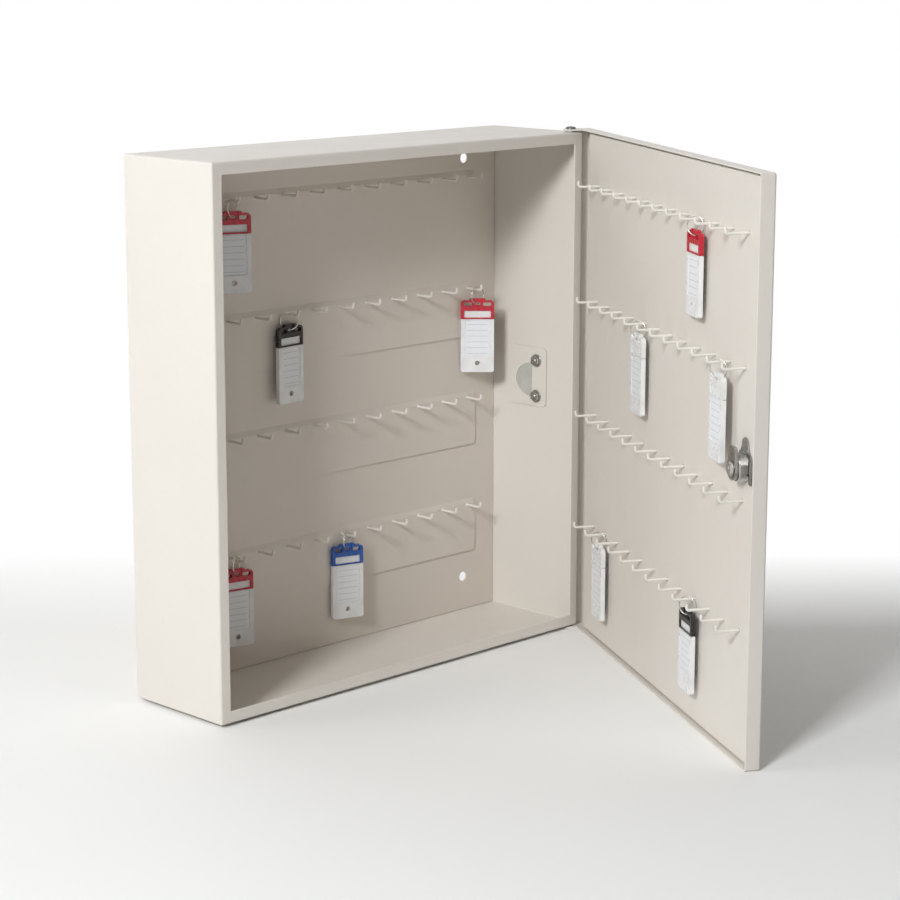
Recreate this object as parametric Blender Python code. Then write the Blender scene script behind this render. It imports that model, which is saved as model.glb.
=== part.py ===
"""A steel key cabinet with rows of hooks on its back and on its door, and ten hanging key tags.

Metres, +Z up. The origin is the middle of the case's underside, the door's side faces -Y and its hinge is at +X.
The door stands open at its rest angle. Its pieces are drawn as if it were shut, and their parent turns them.
"""

import math

import bmesh
import bpy
from mathutils import Matrix, Vector
from mathutils.geometry import tessellate_polygon

# Case
CASE_WIDTH = 0.335
CASE_HEIGHT = 0.355
CASE_DEPTH = 0.086
CASE_SHEET = 0.001
CASE_BEND = 0.0015
FRONT_FLANGE = 0.008
REAR_FLANGE = 0.012

# Gaps
SEAT_GAP = 0.0003
CUT_OVERRUN = 0.002
WELD_DEPTH = 0.0004

# Back panel and its wall fixing holes
PANEL_SHEET = 0.001
FIXING_HOLE_RADIUS = 0.0035
FIXING_SLOT_WIDTH = 0.004
FIXING_SLOT_RISE = 0.0085
FIXING_FROM_SIDE = 0.033
FIXING_FROM_TOP = 0.0215
FIXING_FROM_BOTTOM = 0.026

# Hooks: as many as fit across the case, in as many rows as fit under its top
HOOK_PITCH = 0.025
ROW_END_MARGIN = 0.026
ROW_SPACING = 0.080
TOP_ROW_BELOW_TOP = 0.035
ROW_FOOT_MARGIN = 0.070
HOOK_WIRE_RADIUS = 0.0009
HOOK_REACH = 0.015
HOOK_TIP_RISE = 0.004
HOOK_BEND_RADIUS = 0.002
HOOK_SIDES = 6

# Strips that carry the case's hooks
STRIP_SHEET = 0.0008
STRIP_MARGIN = 0.008
STRIP_ABOVE_HOOK = 0.005
STRIP_BELOW_HOOK = 0.035
STRIP_CORNER = 0.0015

# Door: a folded pan that laps over the case, and an inner liner that is set back in it
DOOR_LAP = 0.002
DOOR_THICKNESS = 0.010
DOOR_SHEET = 0.001
DOOR_BEND = 0.0016
DOOR_CORNER = 0.002
DOOR_BEND_STEPS = 3
DOOR_FACE_GAP = 0.001
DOOR_REST_ANGLE = math.radians(60.0)
LINER_SHEET = 0.0008
LINER_SETBACK = 0.003
LINER_GROOVE = 0.0012
LINER_BEND = 0.0009
HINGE_CHANNEL = 0.0193
FIRST_DOOR_HOOK = 0.0415
HOOK_HOLE_CLEARANCE = 0.0004
HOOK_HOLE_SIDES = 8
BAR_SHEET = 0.001
BAR_HALF_HEIGHT = 0.005

# Hinge: an ear of the door pan lies over the case at each end, on a pivot pin
PIVOT_FROM_SIDE = 0.006
PIVOT_BEHIND_FRONT = 0.006
EAR_RADIUS = 0.0055
PIN_RADIUS = 0.002
PIN_CLEARANCE = 0.0003
PIN_HEAD_RADIUS = 0.0036
PIN_HEAD_HEIGHT = 0.0015
PIN_TAIL_RADIUS = 0.0032
PIN_TAIL_HEIGHT = 0.001
WASHER_RADIUS = 0.0046
PIN_SIDES = 20

# Lock
LOCK_FROM_FREE_EDGE = 0.0185
LOCK_ABOVE_ROW = 0.021
LOCK_BARREL_RADIUS = 0.008
LOCK_FLAT_HALF = 0.007
LOCK_PROTRUSION = 0.007
LOCK_HEAD_RADIUS = 0.0105
LOCK_HEAD_HEIGHT = 0.002
LOCK_SIDES = 28
PLUG_RADIUS = 0.0052
PLUG_RIM_RADIUS = 0.0064
PLUG_RIM_HEIGHT = 0.0012
PLUG_SQUARE_HALF = 0.0034
KEYWAY_LENGTH = 0.0076
KEYWAY_WIDTH = 0.0016
KEYWAY_DEPTH = 0.006
CAM_SHEET = 0.002
CAM_REACH = 0.0135
CAM_HALF_WIDTH = 0.007
CAM_TIP_HALF_WIDTH = 0.0045
CAM_SCREW_RADIUS = 0.0017
CAM_SCREW_DEPTH = 0.005
CAM_SCREW_HEAD_RADIUS = 0.0046
CAM_SCREW_HEAD_HEIGHT = 0.0022
CLIP_SHEET = 0.0008
CLIP_HALF_WIDTH = 0.0105
CLIP_LEG_DROP = 0.009
CLIP_RISE = 0.0185
CLIP_TOP_HALF_WIDTH = 0.0048
CLIP_GROOVE_DEPTH = 0.0009

# Fitting on the inner face of the case's hinge side
PLATE_SHEET = 0.0008
PLATE_FROM_FRONT = 0.031
PLATE_DEPTH = 0.0355
PLATE_HEIGHT = 0.043
PLATE_BELOW_LOCK = 0.004
PLATE_CORNER = 0.004
WINDOW_FRONT_MARGIN = 0.0135
WINDOW_REAR_MARGIN = 0.0062
WINDOW_FOOT_MARGIN = 0.0065
WINDOW_TOP_MARGIN = 0.012
STUD_FROM_EDGE = 0.009
STUD_FROM_TOP = 0.0095
STUD_FROM_FOOT = 0.0075
STUD_RADIUS = 0.002
STUD_NUT_RADIUS = 0.0045
STUD_NUT_HEIGHT = 0.0028

# Key tags
TAG_WIDTH = 0.024
TAG_HEIGHT = 0.052
TAG_THICKNESS = 0.003
TAG_FOOT_CORNER = 0.0018
LABEL_HALF_WIDTH = 0.0088
LABEL_INSET = 0.0004
LABEL_ABOVE_FOOT = 0.0115
LABEL_BELOW_CAP = 0.0012
TAG_HOLE_RADIUS = 0.0018
TAG_HOLE_ABOVE_FOOT = 0.0065
CAP_HEIGHT = 0.0133
CAP_CORNER = 0.003
CAP_WALL = 0.0007
WINDOW_HALF_WIDTH = 0.0096
CAP_WINDOW_HEIGHT = 0.005
CAP_FOOT_BAR = 0.0009
CAP_SLOT_FROM_MIDDLE = 0.0031
CAP_SLOT_FROM_SIDE = 0.0021
CAP_SLOT_FROM_TOP = 0.0014
CAP_SLOT_HEIGHT = 0.0028
POCKET_FROM_TOP = 0.0055
CROWN_HALF_WIDTH = 0.006
CROWN_RISE = 0.0015
EYE_BAR = 0.003
EYE_HALF_WIDTH = 0.002
EYE_HEIGHT = 0.0019
WEB_THICKNESS = 0.0014
WEB_HALF_WIDTH = 0.0034
WEB_BELOW_EYE = 0.0006
RING_RADIUS = 0.006
RING_WIRE_RADIUS = 0.0006
RING_STEPS = 16
RING_SIDES = 6

# Each tag: its colour and what carries it. Then, as shares: its row, from the lowest to the top one; its hook,
# from the hinge side on the door and from the left on the back; and how much of the hook's reach lies between
# the panel and the tag. Last, how far it is turned from that panel, in degrees
TAG_SHARES = (
    ("red", "case", 1.0, 0.18, 0.04, -24),
    ("black", "case", 0.67, 0.36, 0.03, 6),
    ("red", "case", 0.67, 1.0, 0.04, -44),
    ("red", "case", 0.0, 0.18, 0.04, -12),
    ("blue", "case", 0.0, 0.55, 0.04, -16),
    ("red", "door", 1.0, 0.73, 0.04, -2),
    ("white", "door", 0.67, 0.36, 0.06, -2),
    ("white", "door", 0.67, 0.91, 0.23, -3),
    ("white", "door", 0.0, 0.09, 0.06, -2),
    ("black", "door", 0.0, 0.73, 0.04, -2),
)
RING_TURN = math.radians(42.0)

# Colour, roughness and metallic value of each finish
FINISHES = {
    "white_paint": ((0.80, 0.79, 0.76), 0.42, 0.0),
    "plated_steel": ((0.55, 0.55, 0.54), 0.34, 1.0),
    "dark_steel": ((0.20, 0.20, 0.20), 0.40, 1.0),
    "white_plastic": ((0.84, 0.84, 0.83), 0.35, 0.0),
    "red": ((0.52, 0.02, 0.035), 0.30, 0.0),
    "blue": ((0.02, 0.10, 0.42), 0.30, 0.0),
    "white": ((0.84, 0.84, 0.83), 0.30, 0.0),
    "black": ((0.018, 0.017, 0.017), 0.35, 0.0),
}

# Places that follow from the sizes above
HALF_WIDTH = CASE_WIDTH / 2
FRONT = -CASE_DEPTH / 2
REAR = CASE_DEPTH / 2
WALL_INNER = HALF_WIDTH - CASE_SHEET
PANEL_REAR = REAR - CASE_SHEET - SEAT_GAP
PANEL_FACE = PANEL_REAR - PANEL_SHEET
STRIP_REAR = PANEL_FACE - SEAT_GAP
STRIP_FACE = STRIP_REAR - STRIP_SHEET
TOP_ROW = CASE_HEIGHT - TOP_ROW_BELOW_TOP
ROW_COUNT = int((TOP_ROW - ROW_FOOT_MARGIN) / ROW_SPACING) + 1
ROWS = tuple(TOP_ROW - row * ROW_SPACING for row in reversed(range(ROW_COUNT)))
HOOKS_PER_ROW = int((CASE_WIDTH - 2 * ROW_END_MARGIN) / HOOK_PITCH) + 1
ROW_LENGTH = (HOOKS_PER_ROW - 1) * HOOK_PITCH
DOOR_EDGE = HALF_WIDTH + DOOR_LAP
DOOR_LOW = -DOOR_LAP
DOOR_HIGH = CASE_HEIGHT + DOOR_LAP
DOOR_BACK = FRONT - DOOR_FACE_GAP
DOOR_FRONT = DOOR_BACK - DOOR_THICKNESS
DOOR_SHEET_BACK = DOOR_FRONT + DOOR_SHEET
LINER_FACE = DOOR_BACK - LINER_SETBACK
LINER_REAR = LINER_FACE - LINER_SHEET
LINER_RIGHT = DOOR_EDGE - HINGE_CHANNEL
LINER_LEFT = -DOOR_EDGE + DOOR_SHEET + LINER_GROOVE
LINER_LOW = DOOR_LOW + DOOR_SHEET + LINER_GROOVE
LINER_HIGH = DOOR_HIGH - DOOR_SHEET - LINER_GROOVE
BAR_FACE = LINER_REAR - SEAT_GAP
BAR_REAR = BAR_FACE - BAR_SHEET
PIVOT = Vector((HALF_WIDTH - PIVOT_FROM_SIDE, FRONT + PIVOT_BEHIND_FRONT, 0))
PIN_HOLE_RADIUS = PIN_RADIUS + PIN_CLEARANCE
LOCK_HEIGHT = ROWS[(ROW_COUNT - 1) // 2] + LOCK_ABOVE_ROW
LOCK_AXIS = Vector((-DOOR_EDGE + LOCK_FROM_FREE_EDGE, 0, LOCK_HEIGHT))
LOCK_HOLE_RADIUS = LOCK_BARREL_RADIUS + SEAT_GAP
LOCK_HEAD_BACK = DOOR_FRONT - SEAT_GAP
LOCK_HEAD_FRONT = LOCK_HEAD_BACK - LOCK_HEAD_HEIGHT
LOCK_END = LINER_FACE + LOCK_PROTRUSION
CLIP_BACK = LINER_FACE + SEAT_GAP
CLIP_FRONT = CLIP_BACK + CLIP_SHEET
CAM_BACK = LOCK_END + SEAT_GAP
CAM_FRONT = CAM_BACK + CAM_SHEET
CAM_SCREW_BACK = CAM_FRONT + SEAT_GAP
BACK_HOOKS = tuple(-ROW_LENGTH / 2 + hook * HOOK_PITCH for hook in range(HOOKS_PER_ROW))
DOOR_HOOKS = tuple(DOOR_EDGE - FIRST_DOOR_HOOK - hook * HOOK_PITCH for hook in range(HOOKS_PER_ROW))

# A tag hangs from its hook's wire, which is at height zero here
RING_CENTRE = HOOK_WIRE_RADIUS + RING_WIRE_RADIUS + SEAT_GAP - RING_RADIUS
EYE_TOP = RING_CENTRE - RING_RADIUS + RING_WIRE_RADIUS + SEAT_GAP
EYE_FOOT = EYE_TOP - EYE_HEIGHT
CROWN_TOP = EYE_TOP + EYE_BAR
CAP_TOP = CROWN_TOP - CROWN_RISE
CAP_FOOT = CAP_TOP - CAP_HEIGHT
POCKET_TOP = CAP_TOP - POCKET_FROM_TOP
TAG_FOOT = CAP_TOP - TAG_HEIGHT


def clear_scene():
    for obj in list(bpy.data.objects):
        bpy.data.objects.remove(obj, do_unlink=True)


def link(name, mesh):
    obj = bpy.data.objects.new(name, mesh)
    bpy.context.scene.collection.objects.link(obj)
    return obj


def object_from(name, points, faces):
    """A mesh object with its faces turned outwards."""
    bm = bmesh.new()
    corners = [bm.verts.new(point) for point in points]
    for face in faces:
        bm.faces.new([corners[index] for index in face])
    bmesh.ops.recalc_face_normals(bm, faces=bm.faces[:])
    mesh = bpy.data.meshes.new(name)
    bm.to_mesh(mesh)
    bm.free()
    return link(name, mesh)


def block(name, low, high, bend=0, bend_steps=2):
    """A box between two corners, its edges rounded by a bend where one is given."""
    bm = bmesh.new()
    bmesh.ops.create_cube(bm, size=1)
    size = Vector(high) - Vector(low)
    centre = (Vector(high) + Vector(low)) / 2
    bmesh.ops.scale(bm, vec=size, verts=bm.verts[:])
    bmesh.ops.translate(bm, vec=centre, verts=bm.verts[:])
    if bend:
        bmesh.ops.bevel(bm, geom=bm.edges[:], offset=bend, segments=bend_steps, profile=0.5, affect="EDGES")
    mesh = bpy.data.meshes.new(name)
    bm.to_mesh(mesh)
    bm.free()
    return link(name, mesh)


def in_plane(axis, u, v, height):
    """The point at (u, v) in the plane across an axis, at a height along it."""
    if axis == "X":
        return Vector((height, u, v))
    if axis == "Y":
        return Vector((u, height, v))
    return Vector((u, v, height))


def slab(name, axis, low, high, outline, holes=()):
    """A flat piece: an outline with holes, between two heights along an axis."""
    loops = [outline, *holes]
    flat = [point for loop in loops for point in loop]
    count = len(flat)
    caps = tessellate_polygon([[Vector((u, v, 0)) for u, v in loop] for loop in loops])
    points = [in_plane(axis, u, v, height) for height in (low, high) for u, v in flat]
    faces = [tuple(face) for face in caps]
    faces += [tuple(index + count for index in face) for face in caps]
    start = 0
    for loop in loops:
        for index in range(len(loop)):
            here = start + index
            after = start + (index + 1) % len(loop)
            faces.append((here, after, after + count, here + count))
        start += len(loop)
    return object_from(name, points, faces)


def circle(centre, radius, sides, turn=0.0):
    """The points of a regular polygon, half a side round from the first axis."""
    steps = [math.tau * (index + 0.5) / sides + turn for index in range(sides)]
    return [(centre[0] + radius * math.cos(step), centre[1] + radius * math.sin(step)) for step in steps]


def arc(centre, radius, start, end, steps):
    """The points of an arc between two angles in degrees, both ends included."""
    angles = [math.radians(start + (end - start) * step / steps) for step in range(steps + 1)]
    return [(centre[0] + radius * math.cos(angle), centre[1] + radius * math.sin(angle)) for angle in angles]


def rounded(low, high, radius, steps=3):
    """A rectangle between two corners with its own corners rounded."""
    inner_low = (low[0] + radius, low[1] + radius)
    inner_high = (high[0] - radius, high[1] - radius)
    return (
        arc((inner_high[0], inner_low[1]), radius, -90, 0, steps)
        + arc(inner_high, radius, 0, 90, steps)
        + arc((inner_low[0], inner_high[1]), radius, 90, 180, steps)
        + arc(inner_low, radius, 180, 270, steps)
    )


def rectangle(low, high):
    return [low, (high[0], low[1]), high, (low[0], high[1])]


def lofted(name, axis, loops):
    """A solid through (outline, height) loops in turn along an axis, closed at the first and the last."""
    points = [in_plane(axis, u, v, height) for outline, height in loops for u, v in outline]
    faces = []
    sides = len(loops[0][0])
    for step in range(len(loops) - 1):
        here = step * sides
        above = here + sides
        for side in range(sides):
            after = (side + 1) % sides
            faces.append((here + side, here + after, above + after, above + side))
    last = (len(loops) - 1) * sides
    faces.append(tuple(range(sides)))
    faces.append(tuple(range(last, last + sides)))
    return object_from(name, points, faces)


def turned(name, axis, centre, profile, sides):
    """A round solid: (radius, height) points from one end to the other, about an axis through a centre."""
    return lofted(name, axis, [(circle(centre, radius, sides), height) for radius, height in profile])


def wire_points(path, radius, sides, closed=False):
    """The rings of points round a path that lies in the YZ plane, and the faces between them."""
    points = []
    faces = []
    count = len(path)
    across = Vector((1, 0, 0))
    for index, place in enumerate(path):
        before = path[index - 1] if index or closed else place
        after = path[(index + 1) % count] if index + 1 < count or closed else place
        along = (after - before).normalized()
        upward = across.cross(along)
        for u, v in circle((0, 0), radius, sides):
            points.append(place + across * u + upward * v)
    for index in range(count if closed else count - 1):
        here = index * sides
        above = (index + 1) % count * sides
        for side in range(sides):
            after = (side + 1) % sides
            faces.append((here + side, here + after, above + after, above + side))
    if not closed:
        faces.append(tuple(range(sides)))
        faces.append(tuple(range((count - 1) * sides, count * sides)))
    return points, faces


def combine(target, tool, operation):
    """Joins or cuts one solid with another, which is used up."""
    modifier = target.modifiers.new(operation, "BOOLEAN")
    modifier.operation = operation
    modifier.solver = "EXACT"
    modifier.object = tool
    graph = bpy.context.evaluated_depsgraph_get()
    shape = bpy.data.meshes.new_from_object(target.evaluated_get(graph))
    target.modifiers.clear()
    used = target.data
    target.data = shape
    bpy.data.meshes.remove(used)
    bpy.data.objects.remove(tool, do_unlink=True)


def cut(target, *tools):
    for tool in tools:
        combine(target, tool, "DIFFERENCE")


def weld(target, *tools):
    for tool in tools:
        combine(target, tool, "UNION")


def finished(obj, finish, parent=None, smooth=False):
    """Gives a piece its material and hangs it on the parent that moves it."""
    colour, roughness, metallic = FINISHES[finish]
    material = bpy.data.materials.new(obj.name + "_" + finish)
    material.use_nodes = True
    shader = material.node_tree.nodes["Principled BSDF"]
    shader.inputs["Base Color"].default_value = (*colour, 1)
    shader.inputs["Roughness"].default_value = roughness
    shader.inputs["Metallic"].default_value = metallic
    obj.data.materials.clear()
    obj.data.materials.append(material)
    if smooth:
        obj.data.shade_smooth()
        obj.data.set_sharp_from_angle(angle=math.radians(35))
    if parent:
        obj.parent = parent
    return obj


def pivot(name, place, turn=0.0, parent=None):
    """An empty on a joint's axis, turned about the vertical."""
    empty = bpy.data.objects.new(name, None)
    bpy.context.scene.collection.objects.link(empty)
    empty.location = place
    empty.rotation_euler.z = turn
    empty.parent = parent
    return empty


def on_door(obj, hinge):
    """Hangs a piece that is drawn on the shut door on the door's hinge."""
    obj.location = -PIVOT
    obj.parent = hinge
    return obj


def case_shell():
    """The folded case: four walls, a front flange that the door shuts on, and a rear flange behind the panel."""
    shell = block("case_shell", (-HALF_WIDTH, FRONT, 0), (HALF_WIDTH, REAR, CASE_HEIGHT), CASE_BEND)
    cavity = block(
        "cavity",
        (-WALL_INNER, FRONT + CASE_SHEET, CASE_SHEET),
        (WALL_INNER, REAR - CASE_SHEET, CASE_HEIGHT - CASE_SHEET),
    )
    front_opening = block(
        "front_opening",
        (-HALF_WIDTH + FRONT_FLANGE, FRONT - CUT_OVERRUN, FRONT_FLANGE),
        (HALF_WIDTH - FRONT_FLANGE, FRONT + CUT_OVERRUN, CASE_HEIGHT - FRONT_FLANGE),
    )
    rear_opening = block(
        "rear_opening",
        (-HALF_WIDTH + REAR_FLANGE, REAR - CUT_OVERRUN, REAR_FLANGE),
        (HALF_WIDTH - REAR_FLANGE, REAR + CUT_OVERRUN, CASE_HEIGHT - REAR_FLANGE),
    )
    upper_hole = slab(
        "upper_hole",
        "Z",
        CASE_HEIGHT - CASE_SHEET - CUT_OVERRUN,
        CASE_HEIGHT + CUT_OVERRUN,
        circle(PIVOT.xy, PIN_HOLE_RADIUS, PIN_SIDES),
    )
    lower_hole = slab(
        "lower_hole",
        "Z",
        -CUT_OVERRUN,
        CASE_SHEET + CUT_OVERRUN,
        circle(PIVOT.xy, PIN_HOLE_RADIUS, PIN_SIDES),
    )
    cut(shell, cavity, front_opening, rear_opening, upper_hole, lower_hole)
    finished(shell, "white_paint")


def keyhole(centre):
    """A round hole with a narrower slot above it, which drops over a screw head."""
    half = FIXING_SLOT_WIDTH / 2
    reach = math.degrees(math.asin(half / FIXING_HOLE_RADIUS))
    slot_end = (centre[0], centre[1] + FIXING_SLOT_RISE - half)
    return arc(centre, FIXING_HOLE_RADIUS, 90 + reach, 450 - reach, 12) + arc(slot_end, half, 0, 180, 4)


def back_panel():
    """The panel behind the hooks, inside the rear flange, with four holes for screws into the wall."""
    edge = WALL_INNER - SEAT_GAP
    low = CASE_SHEET + SEAT_GAP
    high = CASE_HEIGHT - CASE_SHEET - SEAT_GAP
    across = HALF_WIDTH - FIXING_FROM_SIDE
    holes = []
    for side in (-across, across):
        holes.append(keyhole((side, CASE_HEIGHT - FIXING_FROM_TOP)))
        holes.append(circle((side, FIXING_FROM_BOTTOM), FIXING_HOLE_RADIUS, 12))
    panel = slab("back_panel", "Y", PANEL_FACE, PANEL_REAR, rectangle((-edge, low), (edge, high)), holes)
    finished(panel, "white_paint")


def hook_path(root, face, inward):
    """A hook's wire in the YZ plane: from its root, straight out past the face, and up at the tip."""
    bend = Vector((0, face + inward * (HOOK_REACH - HOOK_BEND_RADIUS), HOOK_BEND_RADIUS))
    tip = bend + Vector((0, inward * HOOK_BEND_RADIUS, 0))
    middle = bend + HOOK_BEND_RADIUS * Vector((0, inward, -1)).normalized()
    rise = Vector((0, 0, HOOK_TIP_RISE - HOOK_BEND_RADIUS))
    return [Vector((0, root, 0)), bend - Vector((0, 0, HOOK_BEND_RADIUS)), middle, tip, tip + rise]


def row_of_hooks(name, places, height, root, face, inward):
    """All the hooks of one row as one mesh of separate wires."""
    points = []
    faces = []
    wire, wire_faces = wire_points(hook_path(root, face, inward), HOOK_WIRE_RADIUS, HOOK_SIDES)
    for place in places:
        start = len(points)
        points += [point + Vector((place, 0, height)) for point in wire]
        faces += [tuple(index + start for index in face_points) for face_points in wire_faces]
    return object_from(name, points, faces)


def back_hook_strips():
    """A strip for each row on the back panel, with its hooks welded on near its top edge."""
    edge = ROW_LENGTH / 2 + STRIP_MARGIN
    for number, height in enumerate(reversed(ROWS), 1):
        strip = slab(
            f"back_hook_strip_{number}",
            "Y",
            STRIP_FACE,
            STRIP_REAR,
            rounded((-edge, height - STRIP_BELOW_HOOK), (edge, height + STRIP_ABOVE_HOOK), STRIP_CORNER, 2),
        )
        hooks = row_of_hooks("hooks", BACK_HOOKS, height, STRIP_FACE + WELD_DEPTH, PANEL_FACE, -1)
        weld(strip, hooks)
        finished(strip, "white_paint")


def side_plate():
    """A small plate on the hinge side's inner face, with a D-shaped window and two nuts on weld studs."""
    outer = WALL_INNER - SEAT_GAP
    inner = outer - PLATE_SHEET
    front = FRONT + PLATE_FROM_FRONT
    rear = front + PLATE_DEPTH
    foot = LOCK_HEIGHT - PLATE_BELOW_LOCK - PLATE_HEIGHT / 2
    top = foot + PLATE_HEIGHT
    window_half = (PLATE_HEIGHT - WINDOW_FOOT_MARGIN - WINDOW_TOP_MARGIN) / 2
    middle = foot + WINDOW_FOOT_MARGIN + window_half
    window_front = front + WINDOW_FRONT_MARGIN
    bow_share = (rear - WINDOW_REAR_MARGIN - window_front) / window_half
    window = [(window_front + y * bow_share, middle + z) for y, z in arc((0, 0), window_half, -90, 90, 8)]
    studs = [(front + STUD_FROM_EDGE, height) for height in (top - STUD_FROM_TOP, foot + STUD_FROM_FOOT)]
    holes = [window] + [circle(stud, STUD_RADIUS + SEAT_GAP, 12) for stud in studs]
    plate = slab("side_plate", "X", inner, outer, rounded((front, foot), (rear, top), PLATE_CORNER), holes)
    finished(plate, "white_paint")
    nut_face = inner - SEAT_GAP
    nut_end = nut_face - STUD_NUT_HEIGHT
    for name, stud in zip(("side_plate_nut_upper", "side_plate_nut_lower"), studs):
        nut = slab(name, "X", nut_end, nut_face, circle(stud, STUD_NUT_RADIUS, 6))
        weld(nut, slab("shank", "X", nut_end - STUD_RADIUS / 2, outer, circle(stud, STUD_RADIUS, 12)))
        finished(nut, "dark_steel")


def ear(name, low, high):
    """A tab of the door pan that reaches back over the case, round about the pivot."""
    edge_x = PIVOT.x + EAR_RADIUS
    root = DOOR_BACK - DOOR_SHEET
    outline = [(PIVOT.x - EAR_RADIUS, root), (edge_x, root)] + arc(PIVOT.xy, EAR_RADIUS, 0, 180, 10)
    return slab(name, "Z", low, high, outline, [circle(PIVOT.xy, PIN_HOLE_RADIUS, PIN_SIDES)])


def door_pan(hinge):
    """The door's outer pan: the face, a rim all round it and the two ears of its hinge."""
    rings = []
    for step in range(DOOR_BEND_STEPS + 1):
        angle = math.pi / 2 * step / DOOR_BEND_STEPS
        rings.append((DOOR_BEND * (1 - math.sin(angle)), DOOR_FRONT + DOOR_BEND * (1 - math.cos(angle))))
    rings.append((0, DOOR_BACK))
    rings.append((DOOR_SHEET, DOOR_BACK))
    rings.append((DOOR_SHEET, DOOR_SHEET_BACK))
    loops = []
    for inset, height in rings:
        low = (-DOOR_EDGE + inset, DOOR_LOW + inset)
        high = (DOOR_EDGE - inset, DOOR_HIGH - inset)
        loops.append((rounded(low, high, DOOR_CORNER - inset), height))
    pan = lofted("door_pan", "Y", loops)
    lock_hole = slab(
        "lock_hole",
        "Y",
        DOOR_FRONT - CUT_OVERRUN,
        DOOR_SHEET_BACK + CUT_OVERRUN,
        circle((LOCK_AXIS.x, LOCK_AXIS.z), LOCK_HOLE_RADIUS, LOCK_SIDES),
    )
    cut(pan, lock_hole)
    weld(pan, ear("upper_ear", DOOR_HIGH - DOOR_SHEET, DOOR_HIGH), ear("lower_ear", DOOR_LOW, DOOR_LOW + DOOR_SHEET))
    on_door(finished(pan, "white_paint"), hinge)


def door_liner(hinge):
    """The inner panel, a shallow pan set back in the door, with a hole for each hook and one for the lock."""
    fold_end = DOOR_SHEET_BACK + SEAT_GAP
    liner = block("door_liner", (LINER_LEFT, fold_end, LINER_LOW), (LINER_RIGHT, LINER_FACE, LINER_HIGH), LINER_BEND)
    hollow = block(
        "hollow",
        (LINER_LEFT + LINER_SHEET, fold_end - CUT_OVERRUN, LINER_LOW + LINER_SHEET),
        (LINER_RIGHT - LINER_SHEET, LINER_REAR, LINER_HIGH - LINER_SHEET),
    )
    lock_hole = slab(
        "lock_hole",
        "Y",
        LINER_REAR - CUT_OVERRUN,
        LINER_FACE + CUT_OVERRUN,
        circle((LOCK_AXIS.x, LOCK_AXIS.z), LOCK_HOLE_RADIUS, LOCK_SIDES),
    )
    cut(liner, hollow, lock_hole)
    points = []
    faces = []
    radius = HOOK_WIRE_RADIUS + HOOK_HOLE_CLEARANCE
    hole, hole_faces = wire_points(
        [Vector((0, LINER_REAR - CUT_OVERRUN, 0)), Vector((0, LINER_FACE + CUT_OVERRUN, 0))], radius, HOOK_HOLE_SIDES
    )
    for height in ROWS:
        for place in DOOR_HOOKS:
            start = len(points)
            points += [point + Vector((place, 0, height)) for point in hole]
            faces += [tuple(index + start for index in face) for face in hole_faces]
    cut(liner, object_from("hook_holes", points, faces))
    on_door(finished(liner, "white_paint"), hinge)


def door_hook_bars(hinge):
    """A bar for each row behind the liner, with its hooks out through the liner's holes."""
    right = DOOR_HOOKS[0] + STRIP_MARGIN
    left = DOOR_HOOKS[-1] - STRIP_MARGIN
    for number, height in enumerate(reversed(ROWS), 1):
        bar = block(
            f"door_hook_bar_{number}",
            (left, BAR_REAR, height - BAR_HALF_HEIGHT),
            (right, BAR_FACE, height + BAR_HALF_HEIGHT),
        )
        hooks = row_of_hooks("hooks", DOOR_HOOKS, height, BAR_FACE - WELD_DEPTH, LINER_FACE, 1)
        weld(bar, hooks)
        on_door(finished(bar, "white_paint"), hinge)


def hinge_pins():
    """Two riveted pins, the upper one headed above its ear and the lower one headed inside the case."""
    ear_top = DOOR_HIGH + SEAT_GAP
    roof = CASE_HEIGHT - CASE_SHEET - SEAT_GAP
    half_head = PIN_HEAD_HEIGHT / 2
    upper = [
        (PIN_TAIL_RADIUS, roof - PIN_TAIL_HEIGHT),
        (PIN_TAIL_RADIUS, roof),
        (PIN_RADIUS, roof),
        (PIN_RADIUS, ear_top),
        (PIN_HEAD_RADIUS, ear_top),
        (PIN_HEAD_RADIUS, ear_top + half_head),
        (PIN_RADIUS, ear_top + PIN_HEAD_HEIGHT),
    ]
    floor = CASE_SHEET + SEAT_GAP
    lower = [
        (PIN_RADIUS, DOOR_LOW + SEAT_GAP),
        (PIN_RADIUS, floor),
        (PIN_HEAD_RADIUS, floor),
        (PIN_HEAD_RADIUS, floor + half_head),
        (PIN_RADIUS, floor + PIN_HEAD_HEIGHT),
    ]
    for name, profile in (("hinge_pin_upper", upper), ("hinge_pin_lower", lower)):
        finished(turned(name, "Z", PIVOT.xy, profile, PIN_SIDES), "dark_steel", smooth=True)
    for name, low, high in (
        ("hinge_washer_upper", CASE_HEIGHT, DOOR_HIGH - DOOR_SHEET),
        ("hinge_washer_lower", DOOR_LOW + DOOR_SHEET, 0),
    ):
        outline = circle(PIVOT.xy, WASHER_RADIUS, PIN_SIDES)
        bore = circle(PIVOT.xy, PIN_HOLE_RADIUS, PIN_SIDES)
        finished(slab(name, "Z", low + SEAT_GAP, high - SEAT_GAP, outline, [bore]), "plated_steel")


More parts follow.
